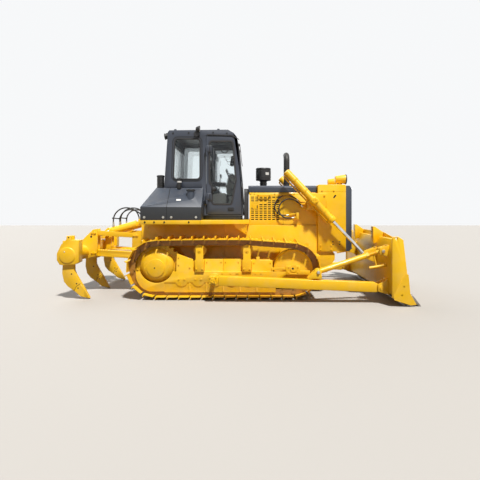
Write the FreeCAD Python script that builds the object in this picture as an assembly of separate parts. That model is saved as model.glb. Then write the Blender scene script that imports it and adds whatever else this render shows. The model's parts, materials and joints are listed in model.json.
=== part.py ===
import FreeCAD, Part
import math
import os

# Crawler bulldozer with a three-shank ripper, at rest with its blade and ripper down.
# Millimetres. +X is forward to the blade, +Z is up, the machine's right side is -Y.
# The origin is on the ground, below the middle of the machine's length.

V = FreeCAD.Vector

# Crawler track: a chain of pinned links with one bolted single-bar shoe on each
TRACK_Y = 940.0              # middle of the machine to the middle of a track
SHOE_WIDTH = 510.0
SHOE_COUNT = 37
SHOE_THICK = 13.0
GROUSER_HEIGHT = 50.0
GROUSER_THICK = 14.0
SHOE_GAP = 14.0              # between neighbouring shoe plates on the straight
LINK_HALF_HEIGHT = 52.5
LINK_THICK = 38.0
LINK_Y = 92.0                # middle of the chain to the middle of a link rail
SPROCKET_TEETH = 27          # half-pitch teeth, every second one drives a bushing
SPROCKET_X = -1360.0
SPROCKET_R = 436.6           # pin circle
IDLER_R = 411.5              # pin circle
IDLER_X = 1070.0
# One tooth space, as (share of a tooth's pitch from the bushing's middle, height beyond the pin circle)
TOOTH_FORM = ((-0.36, 14.0), (-0.27, -6.0), (-0.12, -29.0), (0.12, -29.0), (0.27, -6.0), (0.36, 14.0))
SPROCKET_THICK = 64.0
HUB_DISH_R = 295.0
HUB_REACH = 135.0            # middle of the track to the dish's outer face
DISH_SHIFT = (10.0, 38.0)    # the dish stands off the sprocket's axis, in X and Z
HUB_CAP_R = 157.0
HUB_CAP_PROUD = 20.0
CASE_REACH = 230.0           # middle of the track to the final drive's inner face
IDLER_HUB_R = 85.0

# Rollers that the track frame rides on, and carriers that hold the chain's top run
ROLLER_R = 90.0
ROLLER_FLANGE = 16.0
ROLLER_COUNT = 6
ROLLER_X = -903.0            # rearmost track roller
ROLLER_STEP = 295.0
CARRIER_R = 85.0
CARRIER_FLANGE = 22.0
CARRIER_X = (-585.0, 250.0)
CARRIER_Z = 862.5
ROLLER_WIDTH = 232.0         # over both treads
AXLE_R = 44.0
RUNNING_GAP = 0.5            # between a tread and the rail on it
SEAT_GAP = 0.3               # between a piece and the one that carries it
CARRIER_GAP = 5.0            # below the chain's top run, which bends over the carriers

# Track frame: a box beam beside its rollers
FRAME_HALF_WIDTH = 150.0
SKIRT_THICK = 24.0
SKIRT_TOP = 488.0
INNER_LAP = 6.5              # the inner skirt stands above the outer one by its lap on the beam
GUARD_LOW = 120.0
LOBE_Z, LOBE_R = 336.0, 112.0
HOUSING_TOP = 708.0
POST_FACE = 130.6            # middle of the track to a carrier post's inner face
POST_THICK = 49.4
POST_HALF = 66.0
POST_TOP = 966.0

# Push arms beside the tracks, and the blade that they carry, in X and Z at its end plates
ARM_WIDTH = 150.0
ARM_CLEARANCE = 105.0        # between the shoes' outer edge and the push arm
ARM_Y = TRACK_Y + SHOE_WIDTH / 2 + ARM_CLEARANCE + ARM_WIDTH / 2
BLADE_OVERHANG = 319.0       # beyond the middle of the push arm
BLADE_HALF = ARM_Y + BLADE_OVERHANG
END_PLATE_THICK = 40.0
BLADE_EYE = (2678.0, 1106.0)  # lifting eye in the end plate's ear
BLADE_EYE_R = 22.0
ARM_PIVOT = (-320.0, 389.0)  # the pin at the push arm's rear end
ARM_PIN_R = 40.0
ARM_FRONT = (2510.0, 268.0)  # the pin at its front end
BRACE_LOW = (1455.0, 526.0)
BRACE_HIGH = (2545.0, 884.0)
BRACE_DIA = 95.0
BRACE_GAP = 102.0            # between the ears that hold a brace's eye
HORN_Y = 680.0

# Lift cylinders
LIFT_TRUNNION = (1484.0, 1743.0)
LIFT_PIN = (2430.0, 744.0)
LIFT_BARREL_DIA = 140.0
LIFT_ROD_DIA = 62.0
LIFT_BARREL_ABOVE = 740.0    # trunnion to the barrel's head end
LIFT_BARREL_BELOW = 510.0    # trunnion to the rod gland
LIFT_ROD_HIDDEN = 450.0      # rod inside the barrel at rest
PIN_GAP = 8.0                # between a rod's eye and the ears beside it
ROD_GAP = 90.0               # between the ears beside a lift rod's eye

# Ripper linkage, a parallelogram of equal vectors
RIPPER_LOW = (-1880.0, 710.0)
RIPPER_UP = (-1885.0, 1090.0)
RIPPER_LINK = (-797.0, 50.0)
RIPPER_PIN = (-2728.0, 1069.0)  # the cylinder rods' pin in the tool beam's ears
RIPPER_TRUNNION = (-1810.0, 1340.0)
RIPPER_CYL_Y = 225.0
RIPPER_BARREL_DIA = 150.0
RIPPER_CYL_GAP = 90.0        # between the ears beside a cylinder's eye
RIPPER_BARREL_LENGTH = 650.0  # trunnion to the rod gland
RIPPER_ROD_DIA = 70.0
RIPPER_ROD_HIDDEN = 175.0    # rod inside the barrel at rest
RIPPER_ARM_Y = 400.0
RIPPER_ARM_HALF = 50.0
RIPPER_ARM_GAP = 116.0       # between the ears beside a link's end
RIPPER_EAR = 30.0
RIPPER_BEAM = (-2905.0, 776.0)
RIPPER_BEAM_R = 135.0
RIPPER_BEAM_HALF = 1140.0
HOLDER_HALF = 85.0
SHANK_Y = (-1040.0, 0.0, 1040.0)
SHANK_THICK = 70.0

# Body
CASE_CLEARANCE = 125.0       # between the shoes' inner edge and the steering case
CASE_HALF = TRACK_Y - SHOE_WIDTH / 2 - CASE_CLEARANCE
RAIL_WIDTH = 130.0           # engine rails at the case's outer sides
ENGINE_CLEARANCE = 130.0     # between the engine and the rails
HOOD_HALF = 530.0
GUARD_HALF = HOOD_HALF + 70
YOKE_REACH = 100.0
LIFT_Y = HOOD_HALF + 205     # middle of the machine to a lift cylinder
CAB_HALF = 780.0
CAB_WALL = 45.0
DOOR_GAP = 6.0
BODY_HALF = TRACK_Y + 250    # outside of the fenders and tanks
FENDER_TIP = 860.0


def box(x0, x1, y0, y1, z0, z1):
    """A block between two corners."""
    return Part.makeBox(x1 - x0, y1 - y0, z1 - z0, V(x0, y0, z0))


def side_plate(points, y0, y1):
    """A plate whose outline is in X and Z, between two places across the machine."""
    ring = [V(x, y0, z) for x, z in points]
    face = Part.Face(Part.makePolygon(ring + ring[:1]))
    return face.extrude(V(0, y1 - y0, 0))


def cross_plate(points, x0, x1):
    """A plate whose outline is in Y and Z, between two places along the machine."""
    ring = [V(x0, y, z) for y, z in points]
    face = Part.Face(Part.makePolygon(ring + ring[:1]))
    return face.extrude(V(x1 - x0, 0, 0))


def round_y(centre, radius, y0, y1):
    """A round bar along Y."""
    return Part.makeCylinder(radius, y1 - y0, V(centre[0], y0, centre[1]), V(0, 1, 0))


def bar(a, b, radius, y, start=0.0, end=None):
    """A round bar in the plane y, from a towards b, between two distances from a."""
    length = math.hypot(b[0] - a[0], b[1] - a[1])
    along = V((b[0] - a[0]) / length, 0, (b[1] - a[1]) / length)
    end = length if end is None else end
    return Part.makeCylinder(radius, end - start, V(a[0], y, a[1]) + along * start, along)


def strip(a, b, depth, y0, y1, before=0.0, after=0.0):
    """A flat bar of even depth from a to b, in X and Z."""
    length = math.hypot(b[0] - a[0], b[1] - a[1])
    ux, uz = (b[0] - a[0]) / length, (b[1] - a[1]) / length
    half = depth / 2
    corners = []
    for s, t in ((-before, -half), (length + after, -half), (length + after, half), (-before, half)):
        corners.append((a[0] + ux * s - uz * t, a[1] + uz * s + ux * t))
    return side_plate(corners, y0, y1)


def fuse(first, *others):
    """One solid from touching pieces."""
    return first.fuse(list(others)).removeSplitter() if others else first


def mirrored(shape):
    """The same piece on the machine's left side."""
    return shape.mirror(V(0, 0, 0), V(0, 1, 0))


def both(shape):
    """A pair, right and left."""
    return Part.makeCompound([shape, mirrored(shape)])


# Hydraulic hoses, each from one fitting to another, in X and Z at an even place across the machine
HOSE_DIA = 26.0
HOSE_SIDES = 6
FITTING_LENGTH = 60.0
HOSE_SPREAD = 22.0           # a ripper cylinder's two hoses to either side of its middle
LIFT_HOSE_LOW = (82.0, [(1290, 1636), (1195, 1745), (1040, 1800), (895, 1740), (830, 1600),
                        (880, 1470), (1010, 1415), (1135, 1436)])
LIFT_HOSE_HIGH = (35.0, [(1215, 1752), (1120, 1840), (965, 1868), (825, 1800), (758, 1660),
                         (790, 1535), (905, 1465), (1035, 1485)])
RIPPER_HOSE_ROD = (0.0, [(-2383, 1304), (-2390, 1420), (-2330, 1540), (-2210, 1622), (-2060, 1625),
                         (-1940, 1568), (-1888, 1480), (-1874, 1400)])
RIPPER_HOSE_HEAD = (0.0, [(-2270, 1304), (-2278, 1410), (-2225, 1520), (-2120, 1590), (-1990, 1580),
                          (-1885, 1530), (-1836, 1458), (-1824, 1400)])


def hose_points(route, y):
    """A route's corners, its own distance outboard of a place across the machine."""
    out, corners = route
    return [V(x, y - out, z) for x, z in corners]


def ring_round(centre, along, radius, sides):
    """A regular outline with flat sides, square to a direction in the X and Z plane."""
    along = V(along).normalize()
    up = V(0, 1, 0).cross(along)
    turns = [2 * math.pi * (n + 0.5) / sides for n in range(sides)]
    ring = [centre + V(0, 1, 0) * (radius * math.cos(a)) + up * (radius * math.sin(a)) for a in turns]
    return Part.makePolygon(ring + ring[:1])


def hex_fitting(end, toward, hose_dia, length):
    """The hexagon nut on a hose's end, reaching away from the hose."""
    along = end - toward
    along.normalize()
    face = Part.Face(ring_round(end, along, hose_dia * 0.72, 6))
    return face.extrude(along * length)


def make_hose(name, points):
    """A hose as straight runs joined by tangent arcs, each as large as its two runs allow."""
    edges, radii, start = [], [], points[0]
    for before, corner, after in zip(points, points[1:], points[2:]):
        back, on = before - corner, after - corner
        reach = 0.45 * min(back.Length, on.Length)
        half_turn = (math.pi - back.getAngle(on)) / 2
        bend = reach / math.tan(half_turn)
        back.normalize()
        on.normalize()
        inward = (back + on).normalize()
        touch, leave = corner + back * reach, corner + on * reach
        middle = corner + inward * (bend / math.cos(half_turn) - bend)
        edges += [Part.LineSegment(start, touch).toShape(), Part.Arc(touch, middle, leave).toShape()]
        radii.append(round(bend))
        start = leave
    edges.append(Part.LineSegment(start, points[-1]).toShape())
    path = Part.Wire(edges)
    section = ring_round(points[0], points[1] - points[0], HOSE_DIA / 2, HOSE_SIDES)
    hose = path.makePipeShell([section], True, False)
    print(name, "length", round(path.Length), "bend radii", radii,
          "volume over section times length", round(hose.Volume / (Part.Face(section).Area * path.Length), 4))
    return hose


# Track chain. The pin line runs along the ground, round the idler, over the carriers
# and round the sprocket.
PIN_Z = GROUSER_HEIGHT + SHOE_THICK + LINK_HALF_HEIGHT
SPROCKET_Z = PIN_Z + SPROCKET_R
IDLER_Z = PIN_Z + IDLER_R
CARRIED_Z = CARRIER_Z + CARRIER_R + LINK_HALF_HEIGHT


def tangent_to_circle(point, centre, radius, side):
    """Where the line from a point touches a circle, above it when side is 1."""
    dx, dz = point[0] - centre[0], point[1] - centre[1]
    away = math.hypot(dx, dz)
    angle = math.atan2(dz, dx) + side * math.acos(radius / away)
    return angle


def pin_line():
    """The runs of the pin line, each a line (start, end) or an arc (centre, radius, from, to)."""
    rear = (CARRIER_X[0], CARRIED_Z)
    front = (CARRIER_X[1], CARRIED_Z)
    idler, sprocket = (IDLER_X, IDLER_Z), (SPROCKET_X, SPROCKET_Z)
    top = tangent_to_circle(front, idler, IDLER_R, -1)
    leave = tangent_to_circle(rear, sprocket, SPROCKET_R, 1)
    on_idler = (IDLER_X + IDLER_R * math.cos(top), IDLER_Z + IDLER_R * math.sin(top))
    on_sprocket = (SPROCKET_X + SPROCKET_R * math.cos(leave), SPROCKET_Z + SPROCKET_R * math.sin(leave))
    return [
        ("line", (SPROCKET_X, PIN_Z), (IDLER_X, PIN_Z)),
        ("arc", idler, IDLER_R, -math.pi / 2, top),
        ("line", on_idler, front),
        ("line", front, rear),
        ("line", rear, on_sprocket),
        ("arc", sprocket, SPROCKET_R, leave, math.pi * 1.5),
    ]


def run_length(run):
    if run[0] == "line":
        return math.hypot(run[2][0] - run[1][0], run[2][1] - run[1][1])
    return run[2] * (run[4] - run[3])


PIN_RUNS = pin_line()
TRACK_LENGTH = sum(run_length(run) for run in PIN_RUNS)
PITCH = TRACK_LENGTH / SHOE_COUNT


def on_pin_line(distance):
    """A point of the pin line, by its distance along the chain."""
    left = distance % TRACK_LENGTH
    for run in PIN_RUNS:
        length = run_length(run)
        if left <= length:
            break
        left -= length
    part = left / length
    if run[0] == "line":
        return (run[1][0] + (run[2][0] - run[1][0]) * part, run[1][1] + (run[2][1] - run[1][1]) * part)
    angle = run[3] + (run[4] - run[3]) * part
    return (run[1][0] + run[2] * math.cos(angle), run[1][1] + run[2] * math.sin(angle))


PINS = [on_pin_line(PITCH * number) for number in range(SHOE_COUNT)]


def link_frame(number):
    """A link's first pin, its direction and its outward direction."""
    a, b = PINS[number], PINS[(number + 1) % SHOE_COUNT]
    length = math.hypot(b[0] - a[0], b[1] - a[1])
    along = ((b[0] - a[0]) / length, (b[1] - a[1]) / length)
    return a, along, (along[1], -along[0]), length


def shoe(number, y0, y1):
    """One single-bar shoe: a plate with a grouser along its trailing edge."""
    a, along, out, length = link_frame(number)
    low = LINK_HALF_HEIGHT
    high = low + SHOE_THICK
    tip = high + GROUSER_HEIGHT
    start, end = SHOE_GAP / 2, length - SHOE_GAP / 2
    outline = ((start, low), (end, low), (end, high), (start + GROUSER_THICK + 8, high),
               (start + GROUSER_THICK, tip), (start, tip))
    points = [(a[0] + along[0] * s + out[0] * t, a[1] + along[1] * s + out[1] * t) for s, t in outline]
    return side_plate(points, y0, y1)


def rail(y0, y1):
    """One link rail of the whole chain, scalloped between its shoes."""
    outer, inner = [], []
    for number in range(SHOE_COUNT):
        a, along, out, length = link_frame(number)
        for s, t in ((SHOE_GAP, LINK_HALF_HEIGHT), (length - SHOE_GAP, LINK_HALF_HEIGHT)):
            outer.append((a[0] + along[0] * s + out[0] * t, a[1] + along[1] * s + out[1] * t))
        before = link_frame(number - 1)[2]
        mean = (out[0] + before[0], out[1] + before[1])
        size = math.hypot(*mean)
        inner.append((a[0] - mean[0] / size * LINK_HALF_HEIGHT, a[1] - mean[1] / size * LINK_HALF_HEIGHT))
    return side_plate(outer, y0, y1).cut(side_plate(inner, y0, y1))


def make_track():
    """The right track: its two link rails, with the shoes on them."""
    pieces = []
    for y in (-TRACK_Y - LINK_Y, -TRACK_Y + LINK_Y):
        pieces.append(rail(y - LINK_THICK / 2, y + LINK_THICK / 2))
    for number in range(SHOE_COUNT):
        pieces.append(shoe(number, -TRACK_Y - SHOE_WIDTH / 2, -TRACK_Y + SHOE_WIDTH / 2))
    return fuse(pieces[0], *pieces[1:])


def turned(centre, profile):
    """A round piece about an axis along Y, from radius and Y pairs that start and end on the axis."""
    middle = V(centre[0], 0, centre[1])
    ring = [middle + V(radius, y, 0) for radius, y in profile]
    return Part.Face(Part.makePolygon(ring + ring[:1])).revolve(middle, V(0, 1, 0), 360)


def make_sprocket():
    """Toothed rim with half-pitch teeth, the final drive's case and its offset outer dish."""
    first = math.atan2(PINS[0][1] - SPROCKET_Z, PINS[0][0] - SPROCKET_X)
    outline = []
    for tooth in range(SPROCKET_TEETH):
        for share, beyond in TOOTH_FORM:
            angle = first + 2 * math.pi * (tooth + share) / SPROCKET_TEETH
            radius = SPROCKET_R + beyond
            outline.append((SPROCKET_X + radius * math.cos(angle), SPROCKET_Z + radius * math.sin(angle)))
    rim = side_plate(outline, -TRACK_Y - SPROCKET_THICK / 2, -TRACK_Y + SPROCKET_THICK / 2)
    face = -TRACK_Y - HUB_REACH
    dish = turned((SPROCKET_X + DISH_SHIFT[0], SPROCKET_Z + DISH_SHIFT[1]), [
        (0, -TRACK_Y), (HUB_DISH_R, -TRACK_Y), (HUB_DISH_R, face + 55), (HUB_DISH_R - 70, face), (0, face)])
    axis = (SPROCKET_X, SPROCKET_Z)
    cap = round_y(axis, HUB_CAP_R, face - HUB_CAP_PROUD, face + 10)
    case = round_y(axis, HUB_DISH_R - 30, -TRACK_Y, -TRACK_Y + CASE_REACH)
    return fuse(rim, dish, cap, case)


def make_idler():
    """Idler wheel: a hub, a dished disc and the tread that both rails run on."""
    tread = IDLER_R * math.cos(PITCH / IDLER_R / 2) - LINK_HALF_HEIGHT - RUNNING_GAP
    half = ROLLER_WIDTH / 2
    side = ((IDLER_HUB_R, half - 4), (tread - 30, half - 40), (tread, half))
    right = [(radius, -TRACK_Y - reach) for radius, reach in side]
    left = [(radius, -TRACK_Y + reach) for radius, reach in reversed(side)]
    return turned((IDLER_X, IDLER_Z), [(0, right[0][1])] + right + left + [(0, left[-1][1])])


def double_roller(centre, radius, flange, half, stub=0.0):
    """A roller with a tread for both rails between coned flanges, and an axle stub to its right."""
    tread_out = LINK_Y + LINK_THICK / 2 + 2
    y = -TRACK_Y
    profile = [(radius + flange, y - half), (radius, y - tread_out), (radius, y + tread_out),
               (radius + flange, y + half), (0, y + half)]
    if stub:
        profile = [(0, y - half - stub), (AXLE_R, y - half - stub), (AXLE_R, y - half)] + profile
    else:
        profile = [(0, y - half)] + profile
    return turned(centre, profile)


ROLLER_Z = PIN_Z + LINK_HALF_HEIGHT + ROLLER_R + RUNNING_GAP


def make_track_rollers():
    half = FRAME_HALF_WIDTH - SKIRT_THICK - SEAT_GAP
    rollers = [double_roller((ROLLER_X + ROLLER_STEP * n, ROLLER_Z), ROLLER_R, ROLLER_FLANGE, half)
               for n in range(ROLLER_COUNT)]
    return Part.makeCompound(rollers + [mirrored(roller) for roller in rollers])


def make_carrier_rollers():
    half = ROLLER_WIDTH / 2
    stub = POST_FACE - SEAT_GAP - half
    rollers = [double_roller((x, CARRIER_Z - CARRIER_GAP), CARRIER_R, CARRIER_FLANGE, half, stub)
               for x in CARRIER_X]
    return Part.makeCompound(rollers + [mirrored(roller) for roller in rollers])


BEAM_LOW = ROLLER_Z + ROLLER_R + ROLLER_FLANGE + 12


def make_outer_skirt():
    """Outer side of the right track frame: it wraps the final drive, with a lobe beside each roller."""
    y0 = -TRACK_Y - FRAME_HALF_WIDTH
    rear, front = SPROCKET_X - 345, IDLER_X - 129
    heel, step = SPROCKET_X - 85, SPROCKET_X + 151
    curve = Part.Arc(V(heel, y0, 137), V(SPROCKET_X - 280, y0, 240), V(rear, y0, SKIRT_TOP)).toShape()
    rest = [(rear, SKIRT_TOP), (front, SKIRT_TOP), (front, 432), (760, 295), (step, 295), (step, 137),
            (heel, 137)]
    wire = Part.Wire([curve] + Part.makePolygon([V(x, y0, z) for x, z in rest]).Edges)
    plate = Part.Face(wire).extrude(V(0, SKIRT_THICK, 0))
    lobes = [round_y((ROLLER_X + ROLLER_STEP * n, LOBE_Z), LOBE_R, y0, y0 + SKIRT_THICK)
             for n in range(ROLLER_COUNT)]
    lower = box(step, 760, y0 + SKIRT_THICK / 2, y0 + SKIRT_THICK, GUARD_LOW, 330)
    skirt = fuse(plate, lower, *lobes)
    dish = (SPROCKET_X + DISH_SHIFT[0], SPROCKET_Z + DISH_SHIFT[1])
    return skirt.cut(round_y(dish, HUB_DISH_R + 10, y0 - 1, y0 + SKIRT_THICK + 1))


def make_carrier_post(x):
    """Post on the outer side of a carrier roller, with a rounded head and a wide foot."""
    outer, inner = -TRACK_Y - POST_FACE - POST_THICK, -TRACK_Y - POST_FACE
    foot = box(x - 80, x + 80, outer, -TRACK_Y - 90, SKIRT_TOP, 700)
    column = box(x - POST_HALF, x + POST_HALF, outer, inner, 700, POST_TOP - POST_HALF)
    return fuse(foot, column, round_y((x, POST_TOP - POST_HALF), POST_HALF, outer, inner))


def make_track_frame():
    """The right track frame: beam over the rollers, skirts, recoil housings, posts and idler blocks."""
    y = -TRACK_Y
    outer, inner = y - FRAME_HALF_WIDTH, y + FRAME_HALF_WIDTH
    beam = side_plate([(-880, BEAM_LOW), (680, BEAM_LOW), (680, SKIRT_TOP), (704, SKIRT_TOP), (704, 660),
                       (660, HOUSING_TOP - 12), (-660, HOUSING_TOP - 12), (-880, 560)],
                      y - 100, inner - SKIRT_THICK)
    pieces = [beam, make_outer_skirt()]
    pieces.append(box(-880, 680, outer + 10, y - 100, BEAM_LOW, SKIRT_TOP))
    for x0, x1, top in ((-500, -172, HOUSING_TOP), (-166, 138, HOUSING_TOP), (338, 704, 685)):
        pieces.append(box(x0, x1, y - 120, y - 90, SKIRT_TOP, top))
    pieces.append(box(416, 475, y - 120, y - 60, 685, 744))
    pieces.append(side_plate([(-1000, SKIRT_TOP - 20), (-985, 808), (-784, 734), (-700, HOUSING_TOP),
                              (-700, SKIRT_TOP - 20)], outer, outer + 16))
    pieces += [make_carrier_post(x) for x in CARRIER_X]
    block = box(IDLER_X - 129, IDLER_X + 119, outer - 10, y - ROLLER_WIDTH / 2, 432, 590)
    guide = box(IDLER_X + 119, IDLER_X + 296, outer + 5, outer + SKIRT_THICK, 432, 507)
    upper = box(704, IDLER_X - 129, outer + 5, outer + SKIRT_THICK, 512, 560)
    web = box(690, 704, outer + 5, y - 90, SKIRT_TOP, 560)
    slide = box(690, IDLER_X + 90, inner - SKIRT_THICK, inner, IDLER_Z - 80, IDLER_Z + 40)
    lap = SKIRT_TOP + INNER_LAP
    inside = side_plate([(-1060, GUARD_LOW), (760, GUARD_LOW), (760, lap), (-980, lap), (-1060, 300)],
                        inner - SKIRT_THICK, inner)
    hub_face = ROLLER_WIDTH / 2 - 4 + SEAT_GAP
    stubs = [round_y((IDLER_X, IDLER_Z), 34, y - ROLLER_WIDTH / 2 - 5, y - hub_face),
             round_y((IDLER_X, IDLER_Z), 34, y + hub_face, inner - SKIRT_THICK)]
    return fuse(pieces[0], *pieces[1:], block, guide, upper, web, slide, inside, *stubs)


# Radiator guard, grille and hood
GUARD_REAR, GUARD_FRONT = 1580.0, 2108.0
GUARD_LOW_EDGE, GUARD_TOP = 795.0, 2057.0
GRILLE_FRONT = 2225.0
HOOD_REAR, HOOD_FRONT = 270.0, 1560.0
HOOD_LOW, HOOD_SPLIT, HOOD_TOP = 1288.0, 1914.0, 2042.0
LOUVRE_X = 323.0
LOUVRE_STEP = 80.0
LOUVRE_COLUMNS = 7
LOUVRE_Z, LOUVRE_RISE, LOUVRE_ROWS = 1390.0, 70.0, 7

# Head lamps above the guard's front corners
LAMP_Y, LAMP_Z, LAMP_R = 400.0, 2170.0, 92.0

# Exhaust pipe, as runs of (lean to the left in degrees, length)
EXHAUST_X, EXHAUST_R = 1040.0, 60.0
EXHAUST_RUNS = ((0, 560), (30, 75), (65, 95))

# Main frame and power train case between the tracks
CASE_LOW = 400.0
CASE_HIGH = 1324.0
RAIL_REAR = 290.0
RAIL_FRONT = 1906.0


def make_main_frame():
    """Steering case, engine rails, belly guard and cross shafts, with its nose under the radiator."""
    half, rail = CASE_HALF, CASE_HALF - RAIL_WIDTH
    seat = TRACK_Y - FRAME_HALF_WIDTH + SKIRT_THICK - SEAT_GAP
    case_end = TRACK_Y - CASE_REACH - SEAT_GAP
    pieces = [
        box(-1700, RAIL_REAR, -half, half, CASE_LOW + 60, CASE_HIGH + 72),
        box(RAIL_REAR, GUARD_REAR - SEAT_GAP, -half, -rail, 560, HOOD_LOW),
        box(RAIL_REAR, GUARD_REAR - SEAT_GAP, rail, half, 560, HOOD_LOW),
        box(-1500, 1760, -380, 380, CASE_LOW, CASE_LOW + 60),
        side_plate([(1500, CASE_LOW), (1760, CASE_LOW), (1842, 560), (RAIL_FRONT, 640), (RAIL_FRONT, 745),
                    (RAIL_FRONT - 40, GUARD_LOW_EDGE - SEAT_GAP), (1500, GUARD_LOW_EDGE - SEAT_GAP)],
                   -half, half),
        round_y((SPROCKET_X, SPROCKET_Z), 200, -case_end, -half),
        round_y((SPROCKET_X, SPROCKET_Z), 200, half, case_end),
        box(560, 760, -seat + SKIRT_THICK, seat - SKIRT_THICK, 480, 640),
        round_y((-800, 565), 70, -seat, seat),
    ]
    return fuse(pieces[0], *pieces[1:])


def make_ripper_bracket():
    """The bolted rear bracket that carries the ripper's links and cylinders."""
    pieces = [box(-1760, -1700.3, -520, 520, 620, 1396)]
    (low_x, low_z), (up_x, up_z), (cyl_x, cyl_z) = RIPPER_LOW, RIPPER_UP, RIPPER_TRUNNION
    link_ear = [(-1760, 620), (-1760, up_z + 100), (up_x - 45, up_z + 62), (up_x - 62, up_z - 45),
                (low_x - 72, low_z + 50), (low_x - 60, low_z - 70)]
    cylinder_ear = [(-1760, cyl_z - 110), (-1760, 1396), (cyl_x - 20, cyl_z + 52), (cyl_x - 52, cyl_z + 10),
                    (cyl_x - 40, cyl_z - 45)]
    for side in (-1, 1):
        for outline, middle, gap, thick in ((link_ear, RIPPER_ARM_Y, RIPPER_ARM_GAP, RIPPER_EAR),
                                            (cylinder_ear, RIPPER_CYL_Y, RIPPER_CYL_GAP, 25.0)):
            for low in (middle - gap / 2 - thick, middle + gap / 2):
                pieces.append(side_plate(outline, *sorted((side * low, side * (low + thick)))))
            reach = gap / 2 + thick
            ends = sorted((side * (middle - reach), side * (middle + reach)))
            if outline is link_ear:
                pieces += [round_y(RIPPER_LOW, 32, *ends), round_y(RIPPER_UP, 32, *ends)]
            else:
                pieces.append(round_y(RIPPER_TRUNNION, 28, *ends))
    return fuse(pieces[0], *pieces[1:])


def make_engine_block():
    half = CASE_HALF - RAIL_WIDTH - ENGINE_CLEARANCE
    return box(330, 1500, -half, half, 640, 1780)


def make_radiator_guard():
    """Box of thick plate around the radiator, open at its front."""
    outline = [(GUARD_REAR, GUARD_LOW_EDGE), (GUARD_FRONT, GUARD_LOW_EDGE), (GUARD_FRONT, GUARD_TOP - 20),
               (GUARD_FRONT - 20, GUARD_TOP), (GUARD_REAR + 15, GUARD_TOP), (GUARD_REAR, GUARD_TOP - 15)]
    guard = side_plate(outline, -GUARD_HALF, GUARD_HALF)
    half = GUARD_HALF - 80
    return guard.cut(box(GUARD_FRONT - 60, GUARD_FRONT + 1, -half, half, 860, GUARD_TOP - 60))


def make_radiator_grille():
    """Grille door: a frame with a sheet of upright bars, bolted to the guard's front."""
    half = GUARD_HALF - 40
    rear = GUARD_FRONT + SEAT_GAP
    outer = side_plate([(rear, 800), (GRILLE_FRONT - 40, 800), (GRILLE_FRONT, 860),
                        (GRILLE_FRONT, 1980), (GRILLE_FRONT - 40, 2040), (rear, 2040)], -half, half)
    slots = []
    for row in range(10):
        z = 880 + row * 108
        for y0, y1 in ((-half + 60, -20), (20, half - 60)):
            slots.append(box(GUARD_FRONT, GRILLE_FRONT + 1, y0, y1, z, z + 78))
    return outer.cut(slots)


def make_hood_cover():
    profile = [(-HOOD_HALF, HOOD_SPLIT), (HOOD_HALF, HOOD_SPLIT), (HOOD_HALF, HOOD_TOP - 30),
               (HOOD_HALF - 40, HOOD_TOP), (-HOOD_HALF + 40, HOOD_TOP), (-HOOD_HALF, HOOD_TOP - 30)]
    cover = cross_plate(profile, HOOD_REAR, HOOD_FRONT)
    inner = [(y * (HOOD_HALF - 8) / HOOD_HALF, z - 8) for y, z in profile]
    return cover.cut(cross_plate(inner, HOOD_REAR + 8, HOOD_FRONT - 8))


def make_hood_side():
    """Right engine side: a panel with columns of louvre slots."""
    panel = box(HOOD_REAR + 21, GUARD_REAR - SEAT_GAP, -HOOD_HALF, -HOOD_HALF + 12, HOOD_LOW, HOOD_SPLIT)
    slots = []
    for column in range(LOUVRE_COLUMNS):
        x = LOUVRE_X + column * LOUVRE_STEP
        for row in range(4 if column < 2 else LOUVRE_ROWS):
            z = LOUVRE_Z + row * LOUVRE_RISE
            slots.append(box(x, x + 56, -HOOD_HALF - 1, -HOOD_HALF + 13, z, z + 30))
    return panel.cut(slots)


# Fenders and tanks
FENDER_LOW, FENDER_TOP = 1324.0, 1396.0
FENDER_REAR, FENDER_FRONT = -1610.0, 290.0
TANK_REAR, TANK_FRONT = -1609.0, -542.0
TANK_SHOULDER, TANK_TOP = 1627.0, 1980.0
CAB_REAR_STEP = -580.0       # rear of the cab's base, which stands in the tanks' notch


def make_fender():
    """Right fender: the deck over the track, narrower at its front end, with a gusset below."""
    ring = [V(FENDER_REAR, -BODY_HALF, FENDER_LOW), V(-500, -BODY_HALF, FENDER_LOW),
            V(FENDER_FRONT, -FENDER_TIP, FENDER_LOW), V(FENDER_FRONT, -CASE_HALF - SEAT_GAP, FENDER_LOW),
            V(FENDER_REAR, -CASE_HALF - SEAT_GAP, FENDER_LOW)]
    deck = Part.Face(Part.makePolygon(ring + ring[:1])).extrude(V(0, 0, FENDER_TOP - FENDER_LOW))
    gusset = side_plate([(22, FENDER_LOW + 5), (249, FENDER_LOW + 5), (249, 1121), (22, 1267)],
                        -FENDER_TIP, -FENDER_TIP + 16)
    return fuse(deck, gusset)


def make_tank():
    """Right tank: upright skirt, sloped in to the cab's side, its rear chamfered, with a filler neck."""
    profile = [(-BODY_HALF, FENDER_TOP), (-0.5, FENDER_TOP), (-0.5, TANK_TOP), (-CAB_HALF - 70, TANK_TOP),
               (-BODY_HALF, TANK_SHOULDER)]
    tank = cross_plate(profile, TANK_REAR, TANK_FRONT)
    rear = side_plate([(TANK_REAR - 1, TANK_SHOULDER), (TANK_REAR - 1, TANK_TOP + 10),
                       (TANK_REAR + 209, TANK_TOP + 10)], -BODY_HALF - 1, 1)
    step = box(CAB_REAR_STEP - 10, TANK_FRONT + 1, -CAB_HALF - 5, 1, FENDER_TOP - 1, TANK_TOP + 10)
    neck = Part.makeCylinder(62, 260, V(-753, -CAB_HALF - 225, 1678))
    return fuse(tank.cut([rear, step]), neck)


def make_tank_breathers():
    """Black vent can behind the cab and a short pipe beside it, on the right tank."""
    can = Part.makeCylinder(65, 230, V(-1356, -700, TANK_TOP + SEAT_GAP))
    pipe = Part.makeCylinder(40, 180, V(-984, -CAB_HALF - 75, TANK_TOP - 20)).cut(make_tank())
    return Part.makeCompound([can, pipe])


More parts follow.
